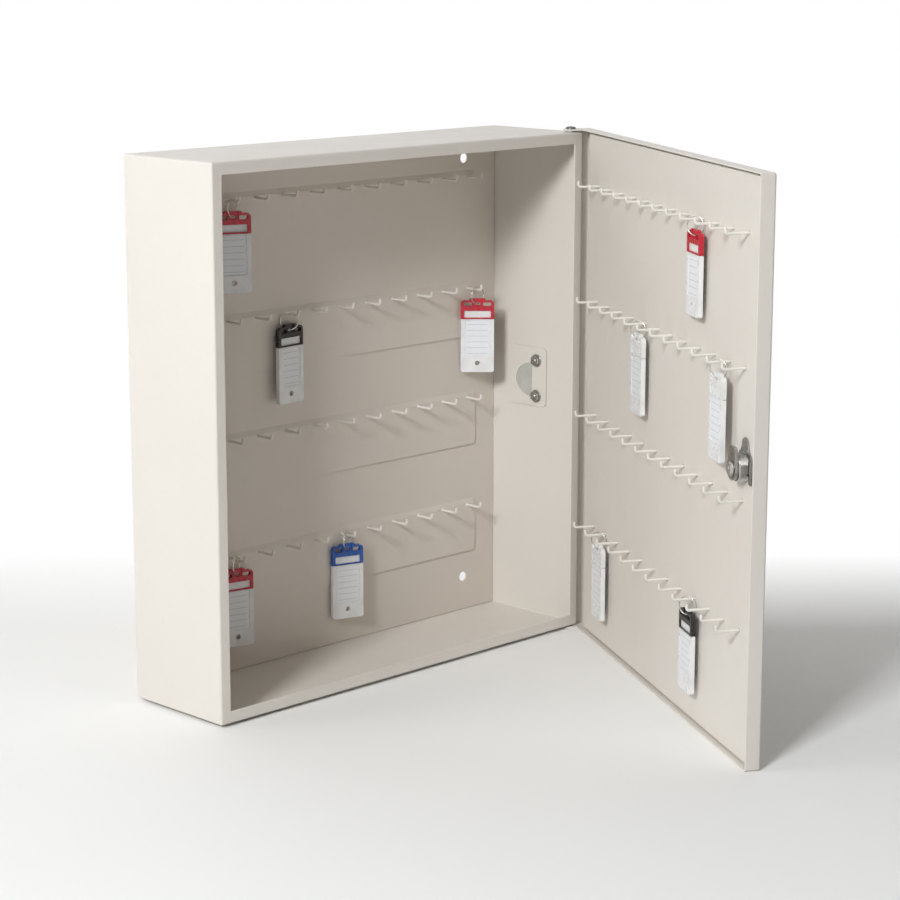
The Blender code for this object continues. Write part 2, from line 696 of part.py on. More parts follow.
def lock_body(hinge):
    """The lock's barrel and head: two flats along the barrel, a groove in each for the clip, a bore for the plug."""
    centre = (LOCK_AXIS.x, LOCK_AXIS.z)
    half_head = LOCK_HEAD_HEIGHT / 2
    body = turned(
        "lock_body",
        "Y",
        centre,
        [
            (LOCK_HEAD_RADIUS - half_head / 2, LOCK_HEAD_FRONT),
            (LOCK_HEAD_RADIUS, LOCK_HEAD_FRONT + half_head),
            (LOCK_HEAD_RADIUS, LOCK_HEAD_BACK),
            (LOCK_BARREL_RADIUS, LOCK_HEAD_BACK),
            (LOCK_BARREL_RADIUS, LOCK_END),
        ],
        LOCK_SIDES,
    )
    groove_floor = LOCK_FLAT_HALF - CLIP_GROOVE_DEPTH
    outside = LOCK_BARREL_RADIUS + CUT_OVERRUN
    for side in (-1, 1):
        for floor, back, front in (
            (LOCK_FLAT_HALF, LINER_FACE, LOCK_END + CUT_OVERRUN),
            (groove_floor, CLIP_BACK - SEAT_GAP, CLIP_FRONT + SEAT_GAP),
        ):
            edges = sorted((LOCK_AXIS.x + side * floor, LOCK_AXIS.x + side * outside))
            low = (edges[0], back, LOCK_AXIS.z - outside)
            high = (edges[1], front, LOCK_AXIS.z + outside)
            cut(body, block("flat", low, high))
    rim_back = LOCK_HEAD_FRONT + PLUG_RIM_HEIGHT + SEAT_GAP
    counterbore = circle(centre, PLUG_RIM_RADIUS + SEAT_GAP, LOCK_SIDES)
    bore = circle(centre, PLUG_RADIUS + SEAT_GAP, LOCK_SIDES)
    cut(
        body,
        slab("counterbore", "Y", LOCK_HEAD_FRONT - CUT_OVERRUN, rim_back, counterbore),
        slab("bore", "Y", LOCK_HEAD_FRONT, LOCK_END + CUT_OVERRUN, bore),
    )
    on_door(finished(body, "plated_steel", smooth=True), hinge)


def lock_clip(hinge):
    """The spring clip that slides over the barrel's flats from above and holds the lock to the liner."""
    x, z = LOCK_AXIS.x, LOCK_AXIS.z
    leg_inner = LOCK_FLAT_HALF - CLIP_GROOVE_DEPTH + SEAT_GAP
    crown = LOCK_BARREL_RADIUS + SEAT_GAP
    shoulder = CLIP_HALF_WIDTH - CLIP_TOP_HALF_WIDTH
    notch = math.degrees(math.acos(leg_inner / crown))
    outline = (
        [(x + leg_inner, z - CLIP_LEG_DROP), (x + CLIP_HALF_WIDTH, z - CLIP_LEG_DROP)]
        + [(x + CLIP_HALF_WIDTH, z + shoulder), (x + CLIP_TOP_HALF_WIDTH, z + LOCK_HEAD_RADIUS)]
        + arc((x, z + CLIP_RISE - CLIP_TOP_HALF_WIDTH), CLIP_TOP_HALF_WIDTH, 0, 180, 6)
        + [(x - CLIP_TOP_HALF_WIDTH, z + LOCK_HEAD_RADIUS), (x - CLIP_HALF_WIDTH, z + shoulder)]
        + [(x - CLIP_HALF_WIDTH, z - CLIP_LEG_DROP), (x - leg_inner, z - CLIP_LEG_DROP)]
        + arc((x, z), crown, 180 - notch, notch, 8)
    )
    on_door(finished(slab("lock_clip", "Y", CLIP_BACK, CLIP_FRONT, outline), "dark_steel"), hinge)


def turning_lock_pieces(lock):
    """The plug, the cam on its square tail and the screw that holds it, drawn about the lock's own axis."""
    square = PLUG_SQUARE_HALF
    plug = turned(
        "lock_plug",
        "Y",
        (0, 0),
        [
            (PLUG_RIM_RADIUS, LOCK_HEAD_FRONT),
            (PLUG_RIM_RADIUS, LOCK_HEAD_FRONT + PLUG_RIM_HEIGHT),
            (PLUG_RADIUS, LOCK_HEAD_FRONT + PLUG_RIM_HEIGHT),
            (PLUG_RADIUS, LOCK_END),
        ],
        LOCK_SIDES,
    )
    weld(plug, block("tail", (-square, LOCK_END - WELD_DEPTH, -square), (square, CAM_FRONT, square)))
    keyway = block(
        "keyway",
        (-KEYWAY_WIDTH / 2, LOCK_HEAD_FRONT - CUT_OVERRUN, -KEYWAY_LENGTH / 2),
        (KEYWAY_WIDTH / 2, LOCK_HEAD_FRONT + KEYWAY_DEPTH, KEYWAY_LENGTH / 2),
    )
    screw_end = CAM_SCREW_BACK - CAM_SCREW_DEPTH
    tapping = circle((0, 0), CAM_SCREW_RADIUS + SEAT_GAP, 12)
    cut(plug, keyway, slab("tapping", "Y", screw_end - SEAT_GAP, CAM_FRONT + CUT_OVERRUN, tapping))
    hole_half = PLUG_SQUARE_HALF + SEAT_GAP
    tip = CAM_TIP_HALF_WIDTH
    outline = (
        arc((0, 0), CAM_HALF_WIDTH, 150, 390, 12)
        + [(tip, CAM_REACH - tip / 2), (tip / 2, CAM_REACH), (-tip / 2, CAM_REACH), (-tip, CAM_REACH - tip / 2)]
    )
    square_hole = rectangle((-hole_half, -hole_half), (hole_half, hole_half))
    cam = slab("lock_cam", "Y", CAM_BACK, CAM_FRONT, outline, [square_hole])
    head_top = CAM_SCREW_BACK + CAM_SCREW_HEAD_HEIGHT
    screw = turned(
        "lock_cam_screw",
        "Y",
        (0, 0),
        [
            (CAM_SCREW_RADIUS, screw_end),
            (CAM_SCREW_RADIUS, CAM_SCREW_BACK),
            (CAM_SCREW_HEAD_RADIUS, CAM_SCREW_BACK),
            (CAM_SCREW_HEAD_RADIUS, head_top - CAM_SCREW_HEAD_HEIGHT / 2),
            (CAM_SCREW_HEAD_RADIUS - CAM_SCREW_HEAD_HEIGHT / 2, head_top),
        ],
        PIN_SIDES,
    )
    finished(plug, "plated_steel", lock)
    finished(cam, "dark_steel", lock)
    finished(screw, "plated_steel", lock, smooth=True)


def tag_body(name, hanger):
    """A tag's white body: a flat plate with a sunk label field, a hole, and a thin tongue up inside its cap."""
    half = TAG_WIDTH / 2
    face = TAG_THICKNESS / 2
    shoulder = CAP_FOOT - SEAT_GAP
    lower = rounded((-half, TAG_FOOT), (half, shoulder + CUT_OVERRUN), TAG_FOOT_CORNER, 2)
    body = slab(name, "Y", -face, face, lower, [circle((0, TAG_FOOT + TAG_HOLE_ABOVE_FOOT), TAG_HOLE_RADIUS, 10)])
    trim = block("trim", (-TAG_WIDTH, -TAG_WIDTH, shoulder), (TAG_WIDTH, TAG_WIDTH, shoulder + TAG_WIDTH))
    cut(body, trim)
    tongue_half = half - CAP_WALL - SEAT_GAP
    tongue_face = face - CAP_WALL - SEAT_GAP
    tongue_top = POCKET_TOP - SEAT_GAP
    tongue = slab(
        "tongue",
        "Y",
        -tongue_face,
        tongue_face,
        rounded((-tongue_half, shoulder - WELD_DEPTH), (tongue_half, tongue_top), TAG_FOOT_CORNER, 2),
    )
    weld(body, tongue)
    for side in (-1, 1):
        faces = sorted((side * (face - LABEL_INSET), side * (face + CUT_OVERRUN)))
        low = (-LABEL_HALF_WIDTH, faces[0], TAG_FOOT + LABEL_ABOVE_FOOT)
        high = (LABEL_HALF_WIDTH, faces[1], CAP_FOOT - LABEL_BELOW_CAP)
        cut(body, block("label_field", low, high))
    finished(body, "white_plastic", hanger)


def tag_cap(name, colour, hanger):
    """A tag's coloured cap: a sleeve over the body's tongue, with a window, two slots and an eye between them."""
    half = TAG_WIDTH / 2
    face = TAG_THICKNESS / 2
    shoulders = rounded((-half, CAP_FOOT), (half, CAP_TOP), CAP_CORNER, 3)
    right = [point for point in shoulders if point[0] > 0 and point[1] > CAP_FOOT + CAP_CORNER]
    left = [point for point in shoulders if point[0] < 0 and point[1] > CAP_FOOT + CAP_CORNER]
    crown = [
        (CROWN_HALF_WIDTH, CAP_TOP),
        (CROWN_HALF_WIDTH - CROWN_RISE, CROWN_TOP),
        (CROWN_RISE - CROWN_HALF_WIDTH, CROWN_TOP),
        (-CROWN_HALF_WIDTH, CAP_TOP),
    ]
    outline = [(-half, CAP_FOOT), (half, CAP_FOOT)] + right + crown + left
    slot_high = CAP_TOP - CAP_SLOT_FROM_TOP
    slot_low = slot_high - CAP_SLOT_HEIGHT
    slot_ends = (CAP_SLOT_FROM_MIDDLE, half - CAP_SLOT_FROM_SIDE)
    holes = [
        rounded((slot_ends[0], slot_low), (slot_ends[1], slot_high), CAP_SLOT_HEIGHT / 3, 2),
        rounded((-slot_ends[1], slot_low), (-slot_ends[0], slot_high), CAP_SLOT_HEIGHT / 3, 2),
        rounded((-EYE_HALF_WIDTH, EYE_FOOT), (EYE_HALF_WIDTH, EYE_TOP), EYE_HEIGHT / 3, 2),
    ]
    cap = slab(name, "Y", -face, face, outline, holes)
    pocket_half = half - CAP_WALL
    pocket_face = face - CAP_WALL
    pocket_foot = CAP_FOOT - CUT_OVERRUN
    pocket_outline = rounded((-pocket_half, pocket_foot), (pocket_half, POCKET_TOP), TAG_FOOT_CORNER, 2)
    pocket = slab("pocket", "Y", -pocket_face, pocket_face, pocket_outline)
    window_foot = CAP_FOOT + CAP_FOOT_BAR
    window = block(
        "window",
        (-WINDOW_HALF_WIDTH, -TAG_THICKNESS, window_foot),
        (WINDOW_HALF_WIDTH, TAG_THICKNESS, window_foot + CAP_WINDOW_HEIGHT),
    )
    cut(cap, pocket, window)
    web_foot = EYE_FOOT - WEB_BELOW_EYE
    for side in (-1, 1):
        faces = sorted((side * WEB_THICKNESS / 2, side * TAG_THICKNESS))
        low = (-WEB_HALF_WIDTH, faces[0], web_foot)
        high = (WEB_HALF_WIDTH, faces[1], CROWN_TOP + CUT_OVERRUN)
        cut(cap, block("thinning", low, high))
    finished(cap, colour, hanger)


def tag_ring(name, turn, hanger):
    """The wire ring that joins a tag's eye to its hook, in an upright plane turned from the tag's own."""
    angles = [math.tau * step / RING_STEPS for step in range(RING_STEPS)]
    path = [RING_RADIUS * Vector((0, math.cos(angle), math.sin(angle))) for angle in angles]
    points, faces = wire_points(path, RING_WIRE_RADIUS, RING_SIDES, closed=True)
    upright = Matrix.Rotation(turn + math.pi / 2, 4, "Z")
    centre = Vector((0, 0, RING_CENTRE))
    ring = object_from(name, [upright @ point + centre for point in points], faces)
    finished(ring, "plated_steel", hanger, smooth=True)


def tag_standoff(turn, ring_turn, gap):
    """How far a tag's middle hangs in front of its panel, so that its corner and its ring stay clear of it."""
    corner = TAG_WIDTH / 2 * abs(math.sin(turn)) + TAG_THICKNESS / 2 * math.cos(turn)
    ring = (RING_RADIUS + RING_WIRE_RADIUS) * abs(math.sin(turn + ring_turn))
    return gap + max(corner, ring)


def key_tags(hinge):
    """The tags, each on its own empty at its hook, with its face away from the panel behind it."""
    for number, (colour, carrier, row_share, hook_share, reach_share, degrees) in enumerate(TAG_SHARES, 1):
        height = ROWS[round(row_share * (ROW_COUNT - 1))]
        hook = round(hook_share * (HOOKS_PER_ROW - 1))
        turn = math.radians(degrees)
        ring_turn = math.copysign(RING_TURN, -turn)
        standoff = tag_standoff(turn, ring_turn, reach_share * HOOK_REACH)
        if carrier == "case":
            place = Vector((BACK_HOOKS[hook], STRIP_FACE - standoff, height))
            hanger = pivot(f"tag_{number}_hanger", place, turn)
        else:
            place = Vector((DOOR_HOOKS[hook], LINER_FACE + standoff, height)) - PIVOT
            hanger = pivot(f"tag_{number}_hanger", place, math.pi + turn, hinge)
        tag_body(f"tag_{number}_body", hanger)
        tag_cap(f"tag_{number}_cap", colour, hanger)
        tag_ring(f"tag_{number}_ring", ring_turn, hanger)


def main():
    clear_scene()
    case_shell()
    back_panel()
    back_hook_strips()
    side_plate()
    hinge_pins()
    hinge = pivot("door_hinge", PIVOT, DOOR_REST_ANGLE)
    door_pan(hinge)
    door_liner(hinge)
    door_hook_bars(hinge)
    lock_body(hinge)
    lock_clip(hinge)
    lock = pivot("lock_axis", LOCK_AXIS - PIVOT, 0.0, hinge)
    turning_lock_pieces(lock)
    key_tags(hinge)


main()
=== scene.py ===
import math

import bmesh
import bpy
from mathutils import Matrix, Vector
from mathutils.geometry import tessellate_polygon


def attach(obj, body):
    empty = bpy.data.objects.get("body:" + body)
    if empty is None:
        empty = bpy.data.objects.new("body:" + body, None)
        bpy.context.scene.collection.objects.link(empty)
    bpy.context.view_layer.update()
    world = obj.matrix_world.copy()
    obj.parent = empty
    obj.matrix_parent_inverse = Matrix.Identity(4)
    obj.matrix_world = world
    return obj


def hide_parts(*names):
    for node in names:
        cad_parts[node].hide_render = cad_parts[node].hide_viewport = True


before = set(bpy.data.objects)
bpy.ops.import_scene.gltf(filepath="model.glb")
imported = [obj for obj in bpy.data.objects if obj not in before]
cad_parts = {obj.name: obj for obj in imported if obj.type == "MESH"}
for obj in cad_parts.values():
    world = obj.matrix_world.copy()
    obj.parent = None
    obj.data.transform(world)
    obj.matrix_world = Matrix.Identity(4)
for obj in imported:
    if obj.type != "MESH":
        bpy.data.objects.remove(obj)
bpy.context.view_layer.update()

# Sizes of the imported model, in metres
HALF_WIDTH = 0.1675
CASE_HEIGHT = 0.355
FRONT = -0.043
REAR = 0.043
SHEET = 0.001
FRONT_FLANGE = 0.008
REAR_FLANGE = 0.012
PANEL_REAR = REAR - SHEET - 0.0003
PANEL_FACE = PANEL_REAR - 0.001
STRIP_REAR = PANEL_FACE - 0.0003
STRIP_FACE = STRIP_REAR - 0.0008
HOOK_COUNT = 12
HOOK_PITCH = 0.025
ROWS = (0.320, 0.240, 0.160, 0.080)
ROW_LENGTH = (HOOK_COUNT - 1) * HOOK_PITCH
WIRE = 0.0009
HOOK_REACH = 0.015
HOOK_TIP = 0.004
HOOK_BEND = 0.002
DOOR_EDGE = 0.1695
DOOR_LOW = -0.002
DOOR_HIGH = 0.357
DOOR_BACK = FRONT - 0.001
DOOR_FRONT = DOOR_BACK - 0.010
DOOR_FLOOR = DOOR_FRONT + SHEET
LINER_FACE = DOOR_BACK - 0.003
LINER_REAR = LINER_FACE - 0.0008
LINER_FOLD = DOOR_FLOOR + 0.0003
LINER_RIGHT = DOOR_EDGE - 0.0193
LINER_LEFT = -DOOR_EDGE + 0.0022
LINER_LOW = DOOR_LOW + 0.0022
LINER_HIGH = DOOR_HIGH - 0.0022
BAR_FACE = LINER_REAR - 0.0003
PIVOT = Vector((0.1615, -0.037, 0))
PIN_HEAD = 0.0036
DOOR_ANGLE = math.radians(60)
LOCK = Vector((DOOR_EDGE - 0.3205, 0, 0.181))
LOCK_END = LINER_FACE + 0.007
LOCK_HEAD_BACK = DOOR_FRONT - 0.0003
LOCK_HEAD_FRONT = LOCK_HEAD_BACK - 0.002
LOCK_HOLE = 0.0083
BARREL = 0.0080
BARREL_FLAT = 0.0070
BACK_HOOKS = [-ROW_LENGTH / 2 + k * HOOK_PITCH for k in range(HOOK_COUNT)]
DOOR_HOOKS = [DOOR_EDGE - 0.0415 - k * HOOK_PITCH for k in range(HOOK_COUNT)]

TO_DOOR = Matrix.Translation(PIVOT) @ Matrix.Rotation(DOOR_ANGLE, 4, "Z") @ Matrix.Translation(-PIVOT)


# Materials


def new_material(name):
    material = bpy.data.materials.new(name)
    material.use_nodes = True
    tree = material.node_tree
    shader = tree.nodes["Principled BSDF"]
    return material, tree, shader


def noise(tree, scale, detail=2.0, stretch=None):
    """A noise texture in the object's own space, its scale in features per metre, stretched along an axis."""
    coords = tree.nodes.new("ShaderNodeTexCoord")
    texture = tree.nodes.new("ShaderNodeTexNoise")
    texture.inputs["Scale"].default_value = scale
    texture.inputs["Detail"].default_value = detail
    source = coords.outputs["Object"]
    if stretch:
        mapping = tree.nodes.new("ShaderNodeMapping")
        mapping.inputs["Scale"].default_value = stretch
        tree.links.new(source, mapping.inputs["Vector"])
        source = mapping.outputs["Vector"]
    tree.links.new(source, texture.inputs["Vector"])
    return texture.outputs["Fac"]


def remap(tree, value, low, high, start=0.3, stop=0.7):
    node = tree.nodes.new("ShaderNodeMapRange")
    node.inputs["From Min"].default_value = start
    node.inputs["From Max"].default_value = stop
    node.inputs["To Min"].default_value = low
    node.inputs["To Max"].default_value = high
    tree.links.new(value, node.inputs["Value"])
    return node.outputs["Result"]


def mixed(tree, factor, first, second):
    """A mix of two colours, each a tuple or a socket."""
    node = tree.nodes.new("ShaderNodeMix")
    node.data_type = "RGBA"
    sockets = [s for s in node.inputs if s.type == "RGBA"]
    for socket, colour in zip(sockets, (first, second)):
        if isinstance(colour, tuple):
            socket.default_value = (*colour, 1)
        else:
            tree.links.new(colour, socket)
    tree.links.new(factor, node.inputs["Factor"])
    return next(s for s in node.outputs if s.type == "RGBA")


def bump(tree, shader, height, strength, distance, below=None):
    node = tree.nodes.new("ShaderNodeBump")
    node.inputs["Strength"].default_value = strength
    node.inputs["Distance"].default_value = distance
    tree.links.new(height, node.inputs["Height"])
    if below:
        tree.links.new(below, node.inputs["Normal"])
    tree.links.new(node.outputs["Normal"], shader.inputs["Normal"])
    return node.outputs["Normal"]


def powder_coat(name, colour, peel=0.10):
    """Baked paint on sheet steel: a fine orange peel, faint unevenness in tone and gloss."""
    material, tree, shader = new_material(name)
    shade = tuple(c * 0.962 for c in colour)
    broad = remap(tree, noise(tree, 7, 4), 0, 1)
    tone = mixed(tree, broad, colour, shade)
    flecks = remap(tree, noise(tree, 420, 2), 0, 0.35, 0.55, 0.75)
    tree.links.new(mixed(tree, flecks, tone, tuple(c * 0.93 for c in colour)), shader.inputs["Base Color"])
    tree.links.new(remap(tree, noise(tree, 55, 3), 0.36, 0.47), shader.inputs["Roughness"])
    low = bump(tree, shader, noise(tree, 28, 2), 0.05, 0.002)
    bump(tree, shader, noise(tree, 950, 2), peel, 0.00035, low)
    shader.inputs["Coat Weight"].default_value = 0.06
    shader.inputs["Coat Roughness"].default_value = 0.3
    return material


def metal(name, colour, rough, stretch=(1, 1, 1), scratch=900.0, relief=0.08):
    """Plated or blackened steel with drawn lines, smudges and small dents."""
    material, tree, shader = new_material(name)
    shader.inputs["Metallic"].default_value = 1
    dull = tuple(c * 0.72 for c in colour)
    smudge = remap(tree, noise(tree, 160, 4), 0, 1)
    tree.links.new(mixed(tree, smudge, colour, dull), shader.inputs["Base Color"])
    tree.links.new(remap(tree, noise(tree, 380, 3), rough * 0.8, rough * 1.35), shader.inputs["Roughness"])
    low = bump(tree, shader, noise(tree, scratch, 3, stretch), relief, 0.0002)
    bump(tree, shader, noise(tree, 260, 2), relief, 0.0003, low)
    return material


def moulded(name, colour, rough, through=0.0):
    """Moulded plastic: a faint grain, a slightly uneven gloss and tone."""
    material, tree, shader = new_material(name)
    shade = tuple(c * 0.86 for c in colour)
    tone = mixed(tree, remap(tree, noise(tree, 120, 3), 0, 1), colour, shade)
    tree.links.new(tone, shader.inputs["Base Color"])
    tree.links.new(remap(tree, noise(tree, 240, 3), rough * 0.85, rough * 1.3), shader.inputs["Roughness"])
    low = bump(tree, shader, noise(tree, 90, 2), 0.05, 0.0008)
    bump(tree, shader, noise(tree, 2400, 2), 0.06, 0.00012, low)
    shader.inputs["Subsurface Weight"].default_value = through
    shader.inputs["Subsurface Radius"].default_value = (0.0012, 0.001, 0.0008)
    return material


def ruled_paper(name):
    """The label's paper: a faint fibre and ruled lines across it, at even heights down its own face."""
    material, tree, shader = new_material(name)
    coords = tree.nodes.new("ShaderNodeTexCoord")
    split = tree.nodes.new("ShaderNodeSeparateXYZ")
    tree.links.new(coords.outputs["Object"], split.inputs["Vector"])
    pitch, line = 0.0042, 0.0005
    turns = tree.nodes.new("ShaderNodeMath")
    turns.operation = "PINGPONG"
    turns.inputs[1].default_value = pitch / 2
    tree.links.new(split.outputs["Z"], turns.inputs[0])
    inked = remap(tree, turns.outputs["Value"], 1, 0, line * 0.25, line * 0.75)
    margin = tree.nodes.new("ShaderNodeMath")
    margin.operation = "ABSOLUTE"
    tree.links.new(split.outputs["X"], margin.inputs[0])
    inside = remap(tree, margin.outputs["Value"], 1, 0, 0.0071, 0.0074)
    both = tree.nodes.new("ShaderNodeMath")
    both.operation = "MULTIPLY"
    tree.links.new(inked, both.inputs[0])
    tree.links.new(inside, both.inputs[1])
    fibre = mixed(tree, remap(tree, noise(tree, 900, 4), 0, 1), (0.78, 0.79, 0.81), (0.73, 0.75, 0.77))
    tree.links.new(mixed(tree, both.outputs["Value"], fibre, (0.55, 0.58, 0.61)), shader.inputs["Base Color"])
    shader.inputs["Roughness"].default_value = 0.55
    bump(tree, shader, noise(tree, 1500, 4), 0.08, 0.0001)
    return material


CREAM = (0.700, 0.658, 0.604)
PAINT = powder_coat("cream_powder_coat", CREAM)
# A darker, warmer copy of the cream paint for the back panel and its strips: painted shade for the inside of
# the case, which has the same paint as the outside.
SHADED_INNER_PAINT = powder_coat("cream_powder_coat_painted_shade", (0.652, 0.598, 0.540), 0.08)
HOOK_PAINT = powder_coat("hook_paint", (0.74, 0.71, 0.655), 0.04)
PLATED = metal("plated_wire", (0.70, 0.69, 0.66), 0.26, (1, 1, 0.08))
ZINC = metal("die_cast_zinc", (0.66, 0.65, 0.63), 0.30, (1, 1, 1), 1400.0, 0.14)
BLACKENED = metal("blackened_steel", (0.15, 0.15, 0.15), 0.34, (0.1, 1, 1), 1200.0, 0.10)
SPRING = metal("spring_steel", (0.44, 0.43, 0.41), 0.28, (1, 1, 0.1), 1200.0, 0.08)
# Grey for the thin sheet behind the side fitting's window: painted shade that darkens the window like a
# shaded recess.
WINDOW_SHADE_GREY = moulded("window_painted_shade", (0.50, 0.50, 0.46), 0.55)
TAG_WHITE = moulded("tag_white", (0.80, 0.80, 0.80), 0.30, 0.15)
CAPS = {
    "red": moulded("cap_red", (0.50, 0.012, 0.03), 0.26, 0.05),
    "blue": moulded("cap_blue", (0.012, 0.085, 0.36), 0.26, 0.05),
    "black": moulded("cap_black", (0.018, 0.017, 0.018), 0.28),
    "white": moulded("cap_white", (0.78, 0.78, 0.775), 0.28, 0.1),
}
PAPER = ruled_paper("ruled_label")


# Shapes


def in_plane(axis, u, v, height):
    if axis == "X":
        return Vector((height, u, v))
    if axis == "Y":
        return Vector((u, height, v))
    return Vector((u, v, height))


def circle(centre, radius, sides):
    steps = [math.tau * (k + 0.5) / sides for k in range(sides)]
    return [(centre[0] + radius * math.cos(a), centre[1] + radius * math.sin(a)) for a in steps]


def arc(centre, radius, start, end, steps):
    angles = [math.radians(start + (end - start) * k / steps) for k in range(steps + 1)]
    return [(centre[0] + radius * math.cos(a), centre[1] + radius * math.sin(a)) for a in angles]


def rounded(low, high, radius, steps=5):
    a, b = (low[0] + radius, low[1] + radius), (high[0] - radius, high[1] - radius)
    return (
        arc((b[0], a[1]), radius, -90, 0, steps)
        + arc(b, radius, 0, 90, steps)
        + arc((a[0], b[1]), radius, 90, 180, steps)
        + arc(a, radius, 180, 270, steps)
    )


def rectangle(low, high):
    return [low, (high[0], low[1]), high, (low[0], high[1])]


class Shape:
    """Points and faces of one piece, put together from simple closed solids."""

    def __init__(self):
        self.points = []
        self.faces = []

    def add(self, points, faces, matrix=None):
        start = len(self.points)
        self.points += [matrix @ p if matrix else p for p in points]
        self.faces += [tuple(i + start for i in face) for face in faces]
        return self

    def make(self, name, material, matrix=None, edge=0.0, edge_steps=2, limit=40):
        bm = bmesh.new()
        corners = [bm.verts.new(p) for p in self.points]
        for face in self.faces:
            bm.faces.new([corners[i] for i in face])
        bmesh.ops.recalc_face_normals(bm, faces=bm.faces[:])
        if edge:
            sharp = [e for e in bm.edges if e.is_manifold and e.calc_face_angle(0) > math.radians(limit)]
            bmesh.ops.bevel(
                bm,
                geom=sharp,
                offset=edge,
                segments=edge_steps,
                profile=0.5,
                affect="EDGES",
                clamp_overlap=True,
            )
        mesh = bpy.data.meshes.new(name)
        bm.to_mesh(mesh)
        bm.free()
        mesh.shade_smooth()
        mesh.set_sharp_from_angle(angle=math.radians(limit))
        obj = bpy.data.objects.new(name, mesh)
        bpy.context.scene.collection.objects.link(obj)
        mesh.materials.append(material)
        even = obj.modifiers.new("even_shading", "WEIGHTED_NORMAL")
        even.keep_sharp = True
        if matrix:
            obj.matrix_world = matrix
        return obj


def slab(axis, low, high, outline, holes=()):
    """Points and faces of a flat piece with holes, between two heights along an axis."""
    loops = [outline, *holes]
    flat = [p for loop in loops for p in loop]
    count = len(flat)
    caps = tessellate_polygon([[Vector((u, v, 0)) for u, v in loop] for loop in loops])
    points = [in_plane(axis, u, v, height) for height in (low, high) for u, v in flat]
    faces = [tuple(f) for f in caps] + [tuple(i + count for i in f) for f in caps]
    start = 0
    for loop in loops:
        for k in range(len(loop)):
            here, after = start + k, start + (k + 1) % len(loop)
            faces.append((here, after, after + count, here + count))
        start += len(loop)
    return points, faces


def tray(axis, loops, holes=(), closed=False):
    """A shell through (outline, height) loops. Its first and last loops are filled, with holes through both.
    A closed one has no ends: its last loop joins its first."""
    sides = len(loops[0][0])
    points = [in_plane(axis, u, v, height) for outline, height in loops for u, v in outline]
    faces = []
    count = len(loops)
    for k in range(count if closed else count - 1):
        here, above = k * sides, (k + 1) % count * sides
        for side in range(sides):
            after = (side + 1) % sides
            faces.append((here + side, here + after, above + after, above + side))
    if closed:
        return points, faces
    ends = []
    for outline, height in (loops[0], loops[-1]):
        ends.append([])
        for hole in holes:
            ends[-1].append(len(points))
            points += [in_plane(axis, u, v, height) for u, v in hole]
    for end, (outline, height) in enumerate((loops[0], loops[-1])):
        index = list(range(sides)) if end == 0 else list(range((count - 1) * sides, count * sides))
        for start, hole in zip(ends[end], holes):
            index += list(range(start, start + len(hole)))
        flat = [[Vector((u, v, 0)) for u, v in loop] for loop in (outline, *holes)]
        faces += [tuple(index[i] for i in f) for f in tessellate_polygon(flat)]
    for number, hole in enumerate(holes):
        near, far = ends[0][number], ends[1][number]
        for k in range(len(hole)):
            after = (k + 1) % len(hole)
            faces.append((near + k, near + after, far + after, far + k))
    return points, faces


def turned(axis, centre, profile, sides):
    """A round solid through (radius, height) points along an axis."""
    return tray(axis, [(circle(centre, radius, sides), height) for radius, height in profile])


def tube(path, radii, sides, closed=False):
    """A round wire along a path in the YZ plane, with a radius at each point."""
    across = Vector((1, 0, 0))
    points, faces = [], []
    count = len(path)
    for k, place in enumerate(path):
        before = path[k - 1] if k or closed else place
        after = path[(k + 1) % count] if k + 1 < count or closed else place
        along = (after - before).normalized()
        upward = across.cross(along)
        for u, v in circle((0, 0), radii[k], sides):
            points.append(place + across * u + upward * v)
    for k in range(count if closed else count - 1):
        here, above = k * sides, (k + 1) % count * sides
        for side in range(sides):
            after = (side + 1) % sides
            faces.append((here + side, here + after, above + after, above + side))
    if not closed:
        faces += [tuple(range(sides)), tuple(range((count - 1) * sides, count * sides))]
    return points, faces


def inset_outline(inset, corner, low, high, steps=5):
    least_radius = 0.0003
    inner_low, inner_high = (low[0] + inset, low[1] + inset), (high[0] - inset, high[1] - inset)
    return rounded(inner_low, inner_high, max(corner - inset, least_radius), steps)


def bend(radius, steps, from_face):
    """(inset, depth) points of a folded edge, from the face round to the wall or the other way."""
    points = []
    for k in range(steps + 1):
        angle = math.pi / 2 * k / steps
        points.append((radius * (1 - math.sin(angle)), radius * (1 - math.cos(angle))))
    return points if from_face else points[::-1]


# The case


def case_shell():
    low, high = (-HALF_WIDTH, 0), (HALF_WIDTH, CASE_HEIGHT)
    edge, radius = 0.00018, 0.0015
    path = [(FRONT_FLANGE, FRONT + SHEET), (FRONT_FLANGE, FRONT + edge), (FRONT_FLANGE - edge, FRONT)]
    path += [(inset, FRONT + depth) for inset, depth in bend(radius, 6, True)]
    path += [(inset, REAR - depth) for inset, depth in bend(radius, 6, False)]
    path += [(REAR_FLANGE - edge, REAR), (REAR_FLANGE, REAR - edge), (REAR_FLANGE, REAR - SHEET)]
    path += [(SHEET + 0.0005, REAR - SHEET), (SHEET, REAR - SHEET - 0.0005)]
    path += [(SHEET, FRONT + SHEET + 0.0005), (SHEET + 0.0005, FRONT + SHEET)]
    loops = [(inset_outline(inset, 0.0016, low, high), y) for inset, y in path]
    shell = Shape().add(*tray("Y", loops, closed=True)).make("case_skin", PAINT)
    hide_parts("case_shell")
    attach(shell, "case")


def keyhole(centre):
    radius, half, rise = 0.0035, 0.002, 0.0085
    reach = math.degrees(math.asin(half / radius))
    top = (centre[0], centre[1] + rise - half)
    return arc(centre, radius, 90 + reach, 450 - reach, 24) + arc(top, half, 0, 180, 8)


